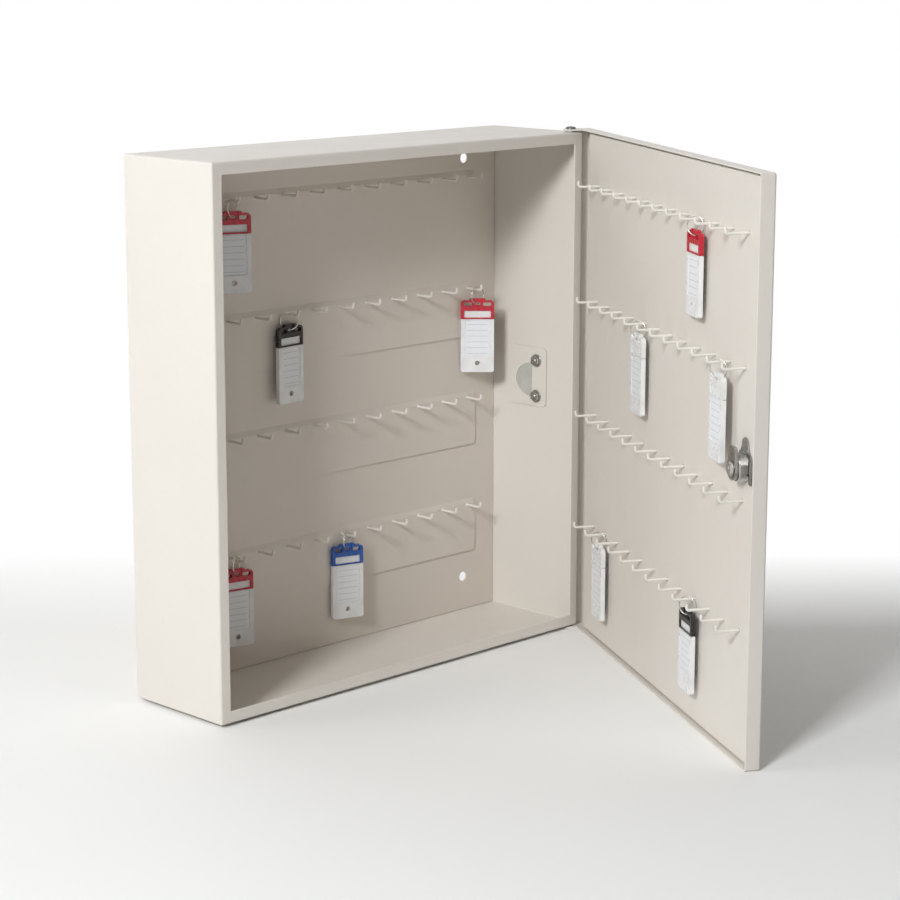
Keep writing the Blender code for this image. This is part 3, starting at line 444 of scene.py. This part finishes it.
def back_panel():
    margin, hole_radius = 0.0013, 0.0035
    across, low_hole, high_hole = HALF_WIDTH - 0.033, 0.026, CASE_HEIGHT - 0.0215
    holes = []
    for side in (-across, across):
        holes += [keyhole((side, high_hole)), circle((side, low_hole), hole_radius, 28)]
    outline = rectangle((margin - HALF_WIDTH, margin), (HALF_WIDTH - margin, CASE_HEIGHT - margin))
    panel = Shape().add(*slab("Y", PANEL_FACE, PANEL_REAR, outline, holes))
    skin = panel.make("back_skin", SHADED_INNER_PAINT, edge=0.0001)
    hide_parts("back_panel")
    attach(skin, "case")


def hook(root, face, inward, weld):
    """One hook with a rounded tip and, on a strip, the small collar of its weld."""
    centre = Vector((0, face + inward * (HOOK_REACH - HOOK_BEND), HOOK_BEND))
    path = [Vector((0, root, 0))]
    radii = [WIRE]
    if weld:
        path = [Vector((0, root + inward * d, 0)) for d in (0, 0.0003, 0.0007)]
        radii = [WIRE * 1.7, WIRE * 1.35, WIRE]
    for k in range(9):
        angle = math.pi / 2 * k / 8
        path.append(centre + HOOK_BEND * Vector((0, inward * math.sin(angle), -math.cos(angle))))
        radii.append(WIRE)
    top = path[-1] + Vector((0, 0, HOOK_TIP - HOOK_BEND))
    for rise, share in ((-0.0005, 1.0), (-0.00022, 0.86), (-0.00006, 0.6), (0, 0.3)):
        path.append(top + Vector((0, 0, rise)))
        radii.append(WIRE * share)
    return tube(path, radii, 12)


def back_strips():
    edge, drop, corner = ROW_LENGTH / 2 + 0.008, 0.035, 0.0015
    for number, height in enumerate(ROWS, 1):
        # Its upper edge is pressed down to the panel in a slope, its other edges are cut square.
        loops = []
        for top, y in ((0.0012, STRIP_FACE), (0.0048, PANEL_FACE + 0.0001)):
            loops.append((rounded((-edge, height - drop), (edge, height + top), corner), y))
        strip = Shape().add(*tray("Y", loops)).make(f"strip_{number}", SHADED_INNER_PAINT, edge=0.00012)
        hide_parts(f"back_hook_strip_{number}")
        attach(strip, "case")
        hooks = Shape()
        wire = hook(STRIP_FACE + 0.0002, PANEL_FACE, -1, True)
        for place in BACK_HOOKS:
            hooks.add(*wire, Matrix.Translation((place, 0, height)))
        row = hooks.make(f"strip_{number}_hooks", HOOK_PAINT)
        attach(row, "case")


def side_fitting():
    outer = HALF_WIDTH - SHEET - 0.0003
    inner = outer - 0.0008
    plate_low, plate_high = (FRONT + 0.031, 0.1555), (FRONT + 0.0665, 0.1985)
    window_low, window_high = 0.1620, 0.1865
    window_front, window_back = FRONT + 0.0445, FRONT + 0.0603
    radius, middle = (window_high - window_low) / 2, (window_high + window_low) / 2
    stretch = (window_back - window_front) / radius
    window = [(window_front + y * stretch, middle + z) for y, z in arc((0, 0), radius, -90, 90, 20)]
    outline = rounded(plate_low, plate_high, 0.004, 8)
    plate = Shape().add(*slab("X", inner, outer, outline, [window])).make("side_fitting", PAINT, edge=0.00018)
    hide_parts("side_plate")
    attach(plate, "case")
    # A thin grey sheet in the gap between the plate and the wall shows through the window: painted shade,
    # standing in for a shaded recess behind the window.
    overlap = 0.002
    behind_low = (window_front - overlap, window_low - 0.0015)
    behind_high = (window_back + 0.0017, window_high + 0.0015)
    sheet = slab("X", outer + 0.00004, outer + 0.00026, rounded(behind_low, behind_high, 0.002, 4))
    shade_sheet = Shape().add(*sheet).make("side_window_painted_shade", WINDOW_SHADE_GREY)
    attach(shade_sheet, "case")
    for name, height in (("upper", 0.1890), ("lower", 0.1630)):
        stud_nut(name, (FRONT + 0.040, height), inner - 0.0003)


def stud_nut(name, centre, base):
    """A nut's flange, its six sides with chamfered corners, and the stud's domed end with its thread."""
    flange, corner, chamfer, stud, root = 0.0045, 0.0041, 0.0035, 0.0020, 0.0017
    thread_pitch = 0.0002
    top = base - 0.0028
    shape = Shape()
    shape.add(*turned("X", centre, [(flange, base), (flange, base - 0.0005), (corner, base - 0.0008)], 36))
    hexagon, ring = circle(centre, corner, 6), circle(centre, chamfer, 6)
    shape.add(*tray("X", [(hexagon, base - 0.0007), (hexagon, top + 0.0005), (ring, top)]))
    profile = [(stud, top + 0.0002)]
    for turn in range(4):
        crest = top - thread_pitch * turn
        profile += [(stud, crest - 0.00006), (root, crest - 0.00016)]
    profile += [(0.0014, top - 0.0010)]
    shape.add(*turned("X", centre, profile, 24))
    nut = shape.make(f"stud_nut_{name}", SPRING, edge=0.0001)
    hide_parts(f"side_plate_nut_{name}")
    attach(nut, "case")


def pin_head(base):
    """The domed end of a hinge pin, as a profile that starts at its widest."""
    rim, rise = 0.0004, 0.0011
    angles = (0, 0.35, 0.7, 1.0, 1.25, 1.45)
    return [(PIN_HEAD * math.cos(a), base + rim + rise * math.sin(a)) for a in angles]


def hinge_pins():
    shank, collar = 0.002, 0.0032
    ear_top = DOOR_HIGH + 0.0003
    roof = CASE_HEIGHT - SHEET - 0.0003
    floor = SHEET + 0.0003
    upper = [(collar, roof - 0.001), (collar, roof), (shank, roof), (shank, ear_top), (PIN_HEAD, ear_top)]
    lower = [(shank, DOOR_LOW + 0.0003), (shank, floor), (PIN_HEAD, floor)]
    profiles = (("upper", upper + pin_head(ear_top)), ("lower", lower + pin_head(floor)))
    for name, profile in profiles:
        pin = Shape().add(*turned("Z", PIVOT.xy, profile, 32)).make(f"pivot_pin_{name}", BLACKENED)
        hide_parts(f"hinge_pin_{name}")
        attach(pin, "case")


# The door


def door_pan():
    low, high = (-DOOR_EDGE, DOOR_LOW), (DOOR_EDGE, DOOR_HIGH)
    radius, edge, inner = 0.0016, 0.0002, 0.0006
    path = [(inset, DOOR_FRONT + depth) for inset, depth in bend(radius, 7, True)]
    path += [(0, DOOR_BACK - edge), (edge, DOOR_BACK), (SHEET - edge, DOOR_BACK), (SHEET, DOOR_BACK - edge)]
    path += [(SHEET + inset, DOOR_FLOOR + depth) for inset, depth in bend(inner, 3, False)]
    loops = [(inset_outline(inset, 0.002, low, high, 6), y) for inset, y in path]
    shape = Shape().add(*tray("Y", loops, [circle((LOCK.x, LOCK.z), LOCK_HOLE, 40)]))
    ear = [(PIVOT.x - 0.0055, DOOR_BACK - edge), (PIVOT.x + 0.0055, DOOR_BACK - edge)]
    ear += arc(PIVOT.xy, 0.0055, 0, 180, 20)
    for bottom in (DOOR_LOW, DOOR_HIGH - SHEET):
        shape.add(*slab("Z", bottom, bottom + SHEET, ear))
    door = shape.make("door_skin", PAINT, TO_DOOR)
    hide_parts("door_pan")
    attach(door, "door")


def door_liner():
    low, high = (LINER_LEFT, LINER_LOW), (LINER_RIGHT, LINER_HIGH)
    radius, sheet = 0.0011, 0.0008
    path = [(inset, LINER_FACE - depth) for inset, depth in bend(radius, 6, True)]
    path += [(0, LINER_FOLD), (sheet, LINER_FOLD), (sheet, LINER_REAR - 0.0003), (sheet + 0.0003, LINER_REAR)]
    loops = [(inset_outline(inset, 0.0016, low, high, 6), y) for inset, y in path]
    holes = [circle((LOCK.x, LOCK.z), LOCK_HOLE, 40)]
    holes += [circle((place, height), WIRE + 0.0004, 14) for height in ROWS for place in DOOR_HOOKS]
    liner = Shape().add(*tray("Y", loops, holes)).make("liner_skin", PAINT, TO_DOOR)
    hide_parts("door_liner")
    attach(liner, "door")


def door_hooks():
    for number, height in enumerate(ROWS, 1):
        shape = Shape()
        low, high = (DOOR_HOOKS[-1] - 0.008, height - 0.005), (DOOR_HOOKS[0] + 0.008, height + 0.005)
        shape.add(*slab("Y", BAR_FACE - 0.001, BAR_FACE, rounded(low, high, 0.001)))
        wire = hook(BAR_FACE - 0.0004, LINER_FACE, 1, False)
        for place in DOOR_HOOKS:
            shape.add(*wire, Matrix.Translation((place, 0, height)))
        row = shape.make(f"door_hooks_{number}", HOOK_PAINT, TO_DOOR)
        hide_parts(f"door_hook_bar_{number}")
        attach(row, "door")


def barrel_outline(radius, flat, steps=16):
    """A circle with a flat at each side."""
    notch = math.degrees(math.acos(flat / radius))
    centre = (LOCK.x, LOCK.z)
    upper = arc(centre, radius, notch, 180 - notch, steps)
    return upper + arc(centre, radius, 180 + notch, 360 - notch, steps)


def lock_body():
    centre = (LOCK.x, LOCK.z)
    shape = Shape()
    front, back = LOCK_HEAD_FRONT, LOCK_HEAD_BACK
    start = LINER_FACE + 0.0001
    recess = front + 0.0015
    head = [(0.0068, recess), (0.0068, front + 0.0002), (0.0072, front), (0.0096, front)]
    head += [(0.0102, front + 0.0004), (0.0105, front + 0.0010), (0.0105, back)]
    head += [(BARREL, back), (BARREL, start), (0.0056, start), (0.0056, recess)]
    shape.add(*tray("Y", [(circle(centre, r, 64), y) for r, y in head], closed=True))
    # The threaded part that stands out of the liner: two flats, a groove for the clip and a thread's ridges.
    bore = circle(centre, 0.0055, 36)
    pitch, root, groove_flat = 0.0007, 0.0076, 0.0061
    sections = [(start, BARREL, BARREL_FLAT)]
    level = start
    while level < LOCK_END - 0.0008:
        grooved = start < level < LINER_FACE + 0.0013
        flat = groove_flat if grooved else BARREL_FLAT
        sections += [(level + 0.00005, BARREL, flat), (level + 0.00035, root, flat)]
        level += pitch
    sections += [(LOCK_END - 0.0003, BARREL, BARREL_FLAT), (LOCK_END, 0.0077, 0.0068)]
    loops = [(barrel_outline(r, flat), y) for y, r, flat in sections]
    shape.add(*tray("Y", loops, [bore]))
    body = shape.make("cylinder_housing", ZINC, TO_DOOR)
    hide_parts("lock_body")
    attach(body, "door")


def lock_clip():
    x, z = LOCK.x, LOCK.z
    back, front = LINER_FACE + 0.0003, LINER_FACE + 0.0011
    leg, half, foot, shoulder, crown = 0.0064, 0.0105, -0.009, 0.0057, 0.0083
    notch = math.degrees(math.acos(leg / crown))
    right = [(leg, foot), (half, foot), (half, shoulder), (0.0092, 0.0086), (0.0060, 0.0104)]
    left = [(-u, v) for u, v in reversed(right)]
    shapes = right + arc((0, 0.0137), 0.0048, 0, 180, 14) + left + arc((0, 0), crown, 180 - notch, notch, 20)
    shape = Shape().add(*slab("Y", back, front, [(x + u, z + v) for u, v in shapes]))
    # The spring's raised lip along each leg.
    lip_width, lip_height, lip_gap = 0.0006, 0.0008, 0.0004
    for side in (-1, 1):
        edges = sorted((x + side * half, x + side * (half - lip_width)))
        low, high = (edges[0], z + foot + lip_gap), (edges[1], z + shoulder - 0.0007)
        shape.add(*slab("Y", back, front + lip_height, rectangle(low, high)))
    clip = shape.make("spring_clip", SPRING, TO_DOOR, edge=0.00012)
    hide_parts("lock_clip")
    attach(clip, "door")


def square(centre, half):
    return rectangle((centre[0] - half, centre[1] - half), (centre[0] + half, centre[1] + half))


def turning_lock():
    centre = (LOCK.x, LOCK.z)
    x, z = centre
    front = LOCK_HEAD_FRONT
    cam_back = LOCK_END + 0.0003
    cam_front = cam_back + 0.002
    plug, face, step = 0.0052, 0.0064, front + 0.0012
    profile = [(plug, LOCK_END), (plug, step), (face, step), (face, front + 0.0003), (0.0061, front)]
    loops = [(circle(centre, r, 48), y) for r, y in profile]
    keyway = rounded((x - 0.0008, z - 0.0038), (x + 0.0008, z + 0.0038), 0.0005, 4)
    shape = Shape().add(*tray("Y", loops, [keyway]))
    shape.add(*slab("Y", LOCK_END - 0.0002, cam_front, square(centre, 0.0034)))
    turning_piece(shape.make("cylinder_plug", ZINC, TO_DOOR), "lock_plug")
    corner, corner_x, corner_z = 0.0020, 0.0025, z + 0.0115
    outline = arc(centre, 0.007, 150, 390, 30)
    outline += arc((x + corner_x, corner_z), corner, 0, 90, 5)
    outline += arc((x - corner_x, corner_z), corner, 90, 180, 5)
    cam = Shape().add(*slab("Y", cam_back, cam_front, outline, [square(centre, 0.0037)]))
    turning_piece(cam.make("cam_plate", SPRING, TO_DOOR, edge=0.0002), "lock_cam")
    base = cam_front + 0.0003
    shape = Shape()
    flange = [(0.0046, base), (0.0046, base + 0.0004), (0.0043, base + 0.0006)]
    shape.add(*turned("Y", centre, flange, 36))
    hexagon, chamfer = circle(centre, 0.0040, 6), circle(centre, 0.0035, 6)
    shape.add(*tray("Y", [(hexagon, base + 0.0005), (hexagon, base + 0.0016), (chamfer, base + 0.0019)]))
    end = [(0.0018, base + 0.0017), (0.0018, base + 0.0020), (0.0014, base + 0.0022)]
    shape.add(*turned("Y", centre, end, 24))
    turning_piece(shape.make("cam_nut", ZINC, TO_DOOR, edge=0.0001), "lock_cam_screw")


def turning_piece(piece, node):
    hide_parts(node)
    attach(piece, "lock_cylinder")


# The tags

TAG_HALF = 0.012
TAG_FACE = 0.0015
TAG_WEB = 0.0007
RING_RADIUS = 0.006
RING_WIRE = 0.0006
RING_TURN = math.radians(42)
RING_CENTRE = WIRE + RING_WIRE + 0.0003 - RING_RADIUS
EYE_TOP = RING_CENTRE - RING_RADIUS + RING_WIRE + 0.0003
EYE_FOOT = EYE_TOP - 0.0019
CROWN_TOP = EYE_TOP + 0.003
CROWN_HALF = 0.006
CAP_TOP = CROWN_TOP - 0.0015
CAP_FOOT = CAP_TOP - 0.0133
POCKET_TOP = CAP_TOP - 0.0055
TAG_FOOT = CAP_TOP - 0.052
# Each tag: its cap's colour, what carries it, its row from the top, its hook, its gap as a share of the
# hook's reach, and its turn.
TAGS = (
    ("red", "case", 0, 2, 0.04, -24),
    ("black", "case", 1, 4, 0.03, 6),
    ("red", "case", 1, 11, 0.04, -44),
    ("red", "case", 3, 2, 0.04, -12),
    ("blue", "case", 3, 6, 0.04, -16),
    ("red", "door", 0, 8, 0.04, -2),
    ("white", "door", 1, 4, 0.06, -2),
    ("white", "door", 1, 10, 0.23, -3),
    ("white", "door", 3, 1, 0.06, -2),
    ("black", "door", 3, 8, 0.04, -2),
)


def tag_foot():
    """The tag's lower outline from its left side round to its right."""
    corner = 0.0018
    left = arc((-TAG_HALF + corner, TAG_FOOT + corner), corner, 180, 270, 6)
    return left + arc((TAG_HALF - corner, TAG_FOOT + corner), corner, 270, 360, 6)


def tag_body(number, matrix, body):
    shape = Shape()
    shoulder = CAP_FOOT - 0.0003
    outline = [(TAG_HALF, shoulder), (-TAG_HALF, shoulder)] + tag_foot()
    field = rounded((-0.0088, TAG_FOOT + 0.0115), (0.0088, CAP_FOOT - 0.0012), 0.0008, 4)
    hole = circle((0, TAG_FOOT + 0.0065), 0.0018, 28)
    shape.add(*slab("Y", -TAG_FACE, TAG_FACE, outline, [field, hole]))
    floor = rounded((-0.0092, TAG_FOOT + 0.0111), (0.0092, CAP_FOOT - 0.0008), 0.0008, 4)
    shape.add(*slab("Y", -TAG_FACE + 0.0004, TAG_FACE - 0.0004, floor))
    tongue = rounded((-0.0109, shoulder - 0.0002), (0.0109, POCKET_TOP - 0.0003), 0.0015, 4)
    shape.add(*slab("Y", -0.0005, 0.0005, tongue))
    piece = shape.make(f"tag_{number}_plate", TAG_WHITE, matrix, edge=0.00022)
    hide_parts(f"tag_{number}_body")
    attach(piece, body)
    label = Shape()
    paper = rounded((-0.0084, TAG_FOOT + 0.0119), (0.0084, CAP_FOOT - 0.0016), 0.0006, 3)
    for side in (-1, 1):
        faces = sorted((side * (TAG_FACE - 0.0004), side * (TAG_FACE - 0.00025)))
        label.add(*slab("Y", faces[0], faces[1], paper))
    sheet = label.make(f"tag_{number}_label", PAPER, matrix)
    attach(sheet, body)


def tag_cap(number, colour, matrix, body):
    """The cap: two faces with a window, two slots and a notch, a web with the eye, and the sides between."""
    shape = Shape()
    corner = 0.003
    right = arc((TAG_HALF - corner, CAP_TOP - corner), corner, 0, 90, 8)
    left = [(-x, z) for x, z in reversed(right)]
    rise = CROWN_TOP - CAP_TOP
    crown = [(CROWN_HALF, CAP_TOP)] + arc((CROWN_HALF - rise, CAP_TOP), rise, 20, 90, 5)
    notch_half, notch_foot = 0.0034, EYE_FOOT - 0.0006
    notch = [(notch_half, CROWN_TOP), (notch_half, notch_foot + 0.0006), (notch_half - 0.0006, notch_foot)]
    half = right + crown
    face = half + notch + [(-x, z) for x, z in reversed(half + notch)]
    slot_low, slot_high = CAP_TOP - 0.0042, CAP_TOP - 0.0014
    slots = [rounded((0.0040, slot_low), (0.0099, slot_high), 0.0010, 5)]
    slots += [[(-x, z) for x, z in reversed(slots[0])]]
    window = rounded((-0.0096, CAP_FOOT + 0.0009), (0.0096, CAP_FOOT + 0.0059), 0.0006, 4)
    outline = [(TAG_HALF, CAP_FOOT)] + face + [(-TAG_HALF, CAP_FOOT)]
    for side in (-1, 1):
        faces = sorted((side * TAG_FACE, side * (TAG_FACE - 0.0008)))
        shape.add(*slab("Y", faces[0], faces[1], outline, [window, *slots]))
    eye = rounded((-0.002, EYE_FOOT), (0.002, EYE_TOP), 0.0007, 5)
    whole = half + [(-x, z) for x, z in reversed(half)]
    web_side = TAG_HALF - 0.0001
    web = [(web_side, POCKET_TOP)] + [(x * 0.995, z) for x, z in whole] + [(-web_side, POCKET_TOP)]
    shape.add(*slab("Y", -TAG_WEB - 0.00005, TAG_WEB + 0.00005, web, [eye, *slots]))
    for side in (-1, 1):
        sides = sorted((side * (TAG_HALF - 0.0001), side * (TAG_HALF - 0.0007)))
        wall = rectangle((sides[0], CAP_FOOT), (sides[1], POCKET_TOP + 0.0001))
        shape.add(*slab("Y", -TAG_FACE + 0.0003, TAG_FACE - 0.0003, wall))
    piece = shape.make(f"tag_{number}_frame", CAPS[colour], matrix, edge=0.00018)
    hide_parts(f"tag_{number}_cap")
    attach(piece, body)


def tag_ring(number, ring_turn, matrix, body):
    """A split ring of two turns of wire that lie side by side."""
    turns, steps, sides = 2, 40, 10
    path = []
    for k in range(turns * steps + 1):
        angle = math.tau * k / steps + 2.2
        path.append(RING_RADIUS * Vector((0, math.cos(angle), math.sin(angle))))
    points, faces = tube(path, [RING_WIRE * 0.52] * len(path), sides)
    shifted = []
    for index, point in enumerate(points):
        share = index // sides / (len(path) - 1)
        shifted.append(point + Vector(((share - 0.5) * RING_WIRE * 1.06, 0, 0)))
    turn = Matrix.Rotation(ring_turn + math.pi / 2, 4, "Z")
    shape = Shape().add(shifted, faces, Matrix.Translation((0, 0, RING_CENTRE)) @ turn)
    ring = shape.make(f"tag_{number}_split_ring", PLATED, matrix)
    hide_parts(f"tag_{number}_ring")
    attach(ring, body)


def key_tags():
    for number, (colour, carrier, row, place, share, degrees) in enumerate(TAGS, 1):
        turn = math.radians(degrees)
        ring_turn = math.copysign(RING_TURN, -turn)
        corner = TAG_HALF * abs(math.sin(turn)) + TAG_FACE * math.cos(turn)
        ring_reach = (RING_RADIUS + RING_WIRE) * abs(math.sin(turn + ring_turn))
        standoff = share * HOOK_REACH + max(corner, ring_reach)
        if carrier == "case":
            matrix = Matrix.Translation((BACK_HOOKS[place], STRIP_FACE - standoff, ROWS[row]))
            matrix = matrix @ Matrix.Rotation(turn, 4, "Z")
        else:
            matrix = TO_DOOR @ Matrix.Translation((DOOR_HOOKS[place], LINER_FACE + standoff, ROWS[row]))
            matrix = matrix @ Matrix.Rotation(math.pi + turn, 4, "Z")
        body = f"tag_{number}"
        tag_body(number, matrix, body)
        tag_cap(number, colour, matrix, body)
        tag_ring(number, ring_turn, matrix, body)


# The studio


def math_node(tree, operation, first, second):
    """An operation on two sockets, or on a socket and a number."""
    node = tree.nodes.new("ShaderNodeMath")
    node.operation = operation
    for socket, value in zip(node.inputs, (first, second)):
        if isinstance(value, float):
            socket.default_value = value
        else:
            tree.links.new(value, socket)
    return node.outputs["Value"]


def looking_rays(tree):
    """1 for the rays that see a surface, directly, in a reflection or through glass, and 0 for its light."""
    path = tree.nodes.new("ShaderNodeLightPath").outputs
    direct = math_node(tree, "MAXIMUM", path["Is Camera Ray"], path["Is Glossy Ray"])
    return math_node(tree, "MAXIMUM", direct, path["Is Transmission Ray"])


def studio():
    scene = bpy.context.scene
    scene.view_settings.view_transform = "Standard"
    stage_floor()
    sky_light(scene)
    lamps(scene)
    camera(scene)


def stage_floor():
    material, tree, shader = new_material("pale_floor")
    tone = mixed(tree, remap(tree, noise(tree, 3, 3), 0, 1), (0.87, 0.865, 0.85), (0.855, 0.85, 0.835))
    tree.links.new(tone, shader.inputs["Base Color"])
    shader.inputs["Roughness"].default_value = 0.7
    # Behind the object and far from it, the floor fades to white for what looks at it, not for the light.
    coords = tree.nodes.new("ShaderNodeTexCoord")
    split = tree.nodes.new("ShaderNodeSeparateXYZ")
    tree.links.new(coords.outputs["Object"], split.inputs["Vector"])
    behind = remap(tree, split.outputs["Y"], 0, 1, 0.08, 0.30)
    distance = tree.nodes.new("ShaderNodeVectorMath")
    distance.operation = "LENGTH"
    tree.links.new(coords.outputs["Object"], distance.inputs[0])
    far = remap(tree, distance.outputs["Value"], 0, 1, 0.55, 0.95)
    share = math_node(tree, "MULTIPLY", math_node(tree, "MAXIMUM", behind, far), looking_rays(tree))
    white = tree.nodes.new("ShaderNodeEmission")
    white.inputs["Strength"].default_value = 1.0
    both = tree.nodes.new("ShaderNodeMixShader")
    tree.links.new(share, both.inputs["Fac"])
    tree.links.new(shader.outputs["BSDF"], both.inputs[1])
    tree.links.new(white.outputs["Emission"], both.inputs[2])
    tree.links.new(both.outputs["Shader"], tree.nodes["Material Output"].inputs["Surface"])
    level, front, top, half_width = DOOR_LOW, -2.0, 3.0, 4
    turn, bow, steps = 0.30, 0.35, 12
    profile = [(front, level), (turn, level)]
    for k in range(1, steps + 1):
        angle = math.pi / 2 * k / steps
        profile.append((turn + bow * math.sin(angle), level + bow * (1 - math.cos(angle))))
    profile.append((turn + bow, top))
    points = [Vector((x, y, z)) for y, z in profile for x in (-half_width, half_width)]
    faces = [(2 * k, 2 * k + 1, 2 * k + 3, 2 * k + 2) for k in range(len(profile) - 1)]
    floor = Shape().add(points, faces).make("floor_sweep", material)
    floor.matrix_world = Matrix.Rotation(math.radians(-45), 4, "Z")


def sky_light(scene):
    world = scene.world or bpy.data.worlds.new("studio")
    scene.world = world
    world.use_nodes = True
    sky = world.node_tree
    background = sky.nodes["Background"]
    background.inputs["Color"].default_value = (1, 1, 1, 1)
    light = 0.05
    white_share = math_node(sky, "MULTIPLY", looking_rays(sky), 1.0 - light)
    sky.links.new(math_node(sky, "ADD", white_share, light), background.inputs["Strength"])


def lamps(scene):
    """Area lamps that look at the object: name, place, size, power and colour."""
    white, cool = (1, 1, 1), (0.965, 0.985, 1.0)
    middle = Vector((0, -0.1, 0.18))
    for name, place, size, power, colour in (
        ("key", (-1.825, -0.764, 1.213), 0.4, 37, cool),
        ("side", (-1.68, 1.05, 1.325), 0.9, 7, white),
        ("upper_side", (-1.25, -0.10, 2.345), 2.0, 9, white),
        ("top", (-0.06, -0.16, 2.68), 2.0, 5, white),
        ("rear", (1.337, 1.237, 1.658), 1.2, 7.5, white),
    ):
        data = bpy.data.lights.new(name, "AREA")
        data.shape = "SQUARE"
        data.size = size
        data.energy = power
        data.color = colour
        lamp = bpy.data.objects.new(name, data)
        scene.collection.objects.link(lamp)
        lamp.location = place
        lamp.rotation_euler = (middle - Vector(place)).to_track_quat("-Z", "Y").to_euler()


def camera(scene):
    """The camera that was fitted to the photo."""
    place = Vector((-1.12248, -1.19533, 0.49168))
    yaw, pitch, roll = math.radians(45.17), math.radians(11.87), math.radians(0.08)
    forward = Vector((math.sin(yaw) * math.cos(pitch), math.cos(yaw) * math.cos(pitch), -math.sin(pitch)))
    right = Vector((math.cos(yaw), -math.sin(yaw), 0))
    up = right.cross(forward)
    tilted = right * math.cos(roll) + up * math.sin(roll)
    upright = up * math.cos(roll) - right * math.sin(roll)
    data = bpy.data.cameras.new("camera")
    data.sensor_width = 36
    data.lens = 98.80
    viewer = bpy.data.objects.new("camera", data)
    scene.collection.objects.link(viewer)
    turn = Matrix((tilted, upright, -forward)).transposed().to_4x4()
    viewer.matrix_world = Matrix.Translation(place) @ turn
    scene.camera = viewer


def dress_remaining():
    """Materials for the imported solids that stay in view."""
    for node in ("hinge_washer_upper", "hinge_washer_lower"):
        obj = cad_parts[node]
        for slot in obj.material_slots:
            slot.material = ZINC


case_shell()
back_panel()
back_strips()
side_fitting()
hinge_pins()
door_pan()
door_liner()
door_hooks()
lock_body()
lock_clip()
turning_lock()
key_tags()
dress_remaining()
studio()

bpy.context.view_layer.update()
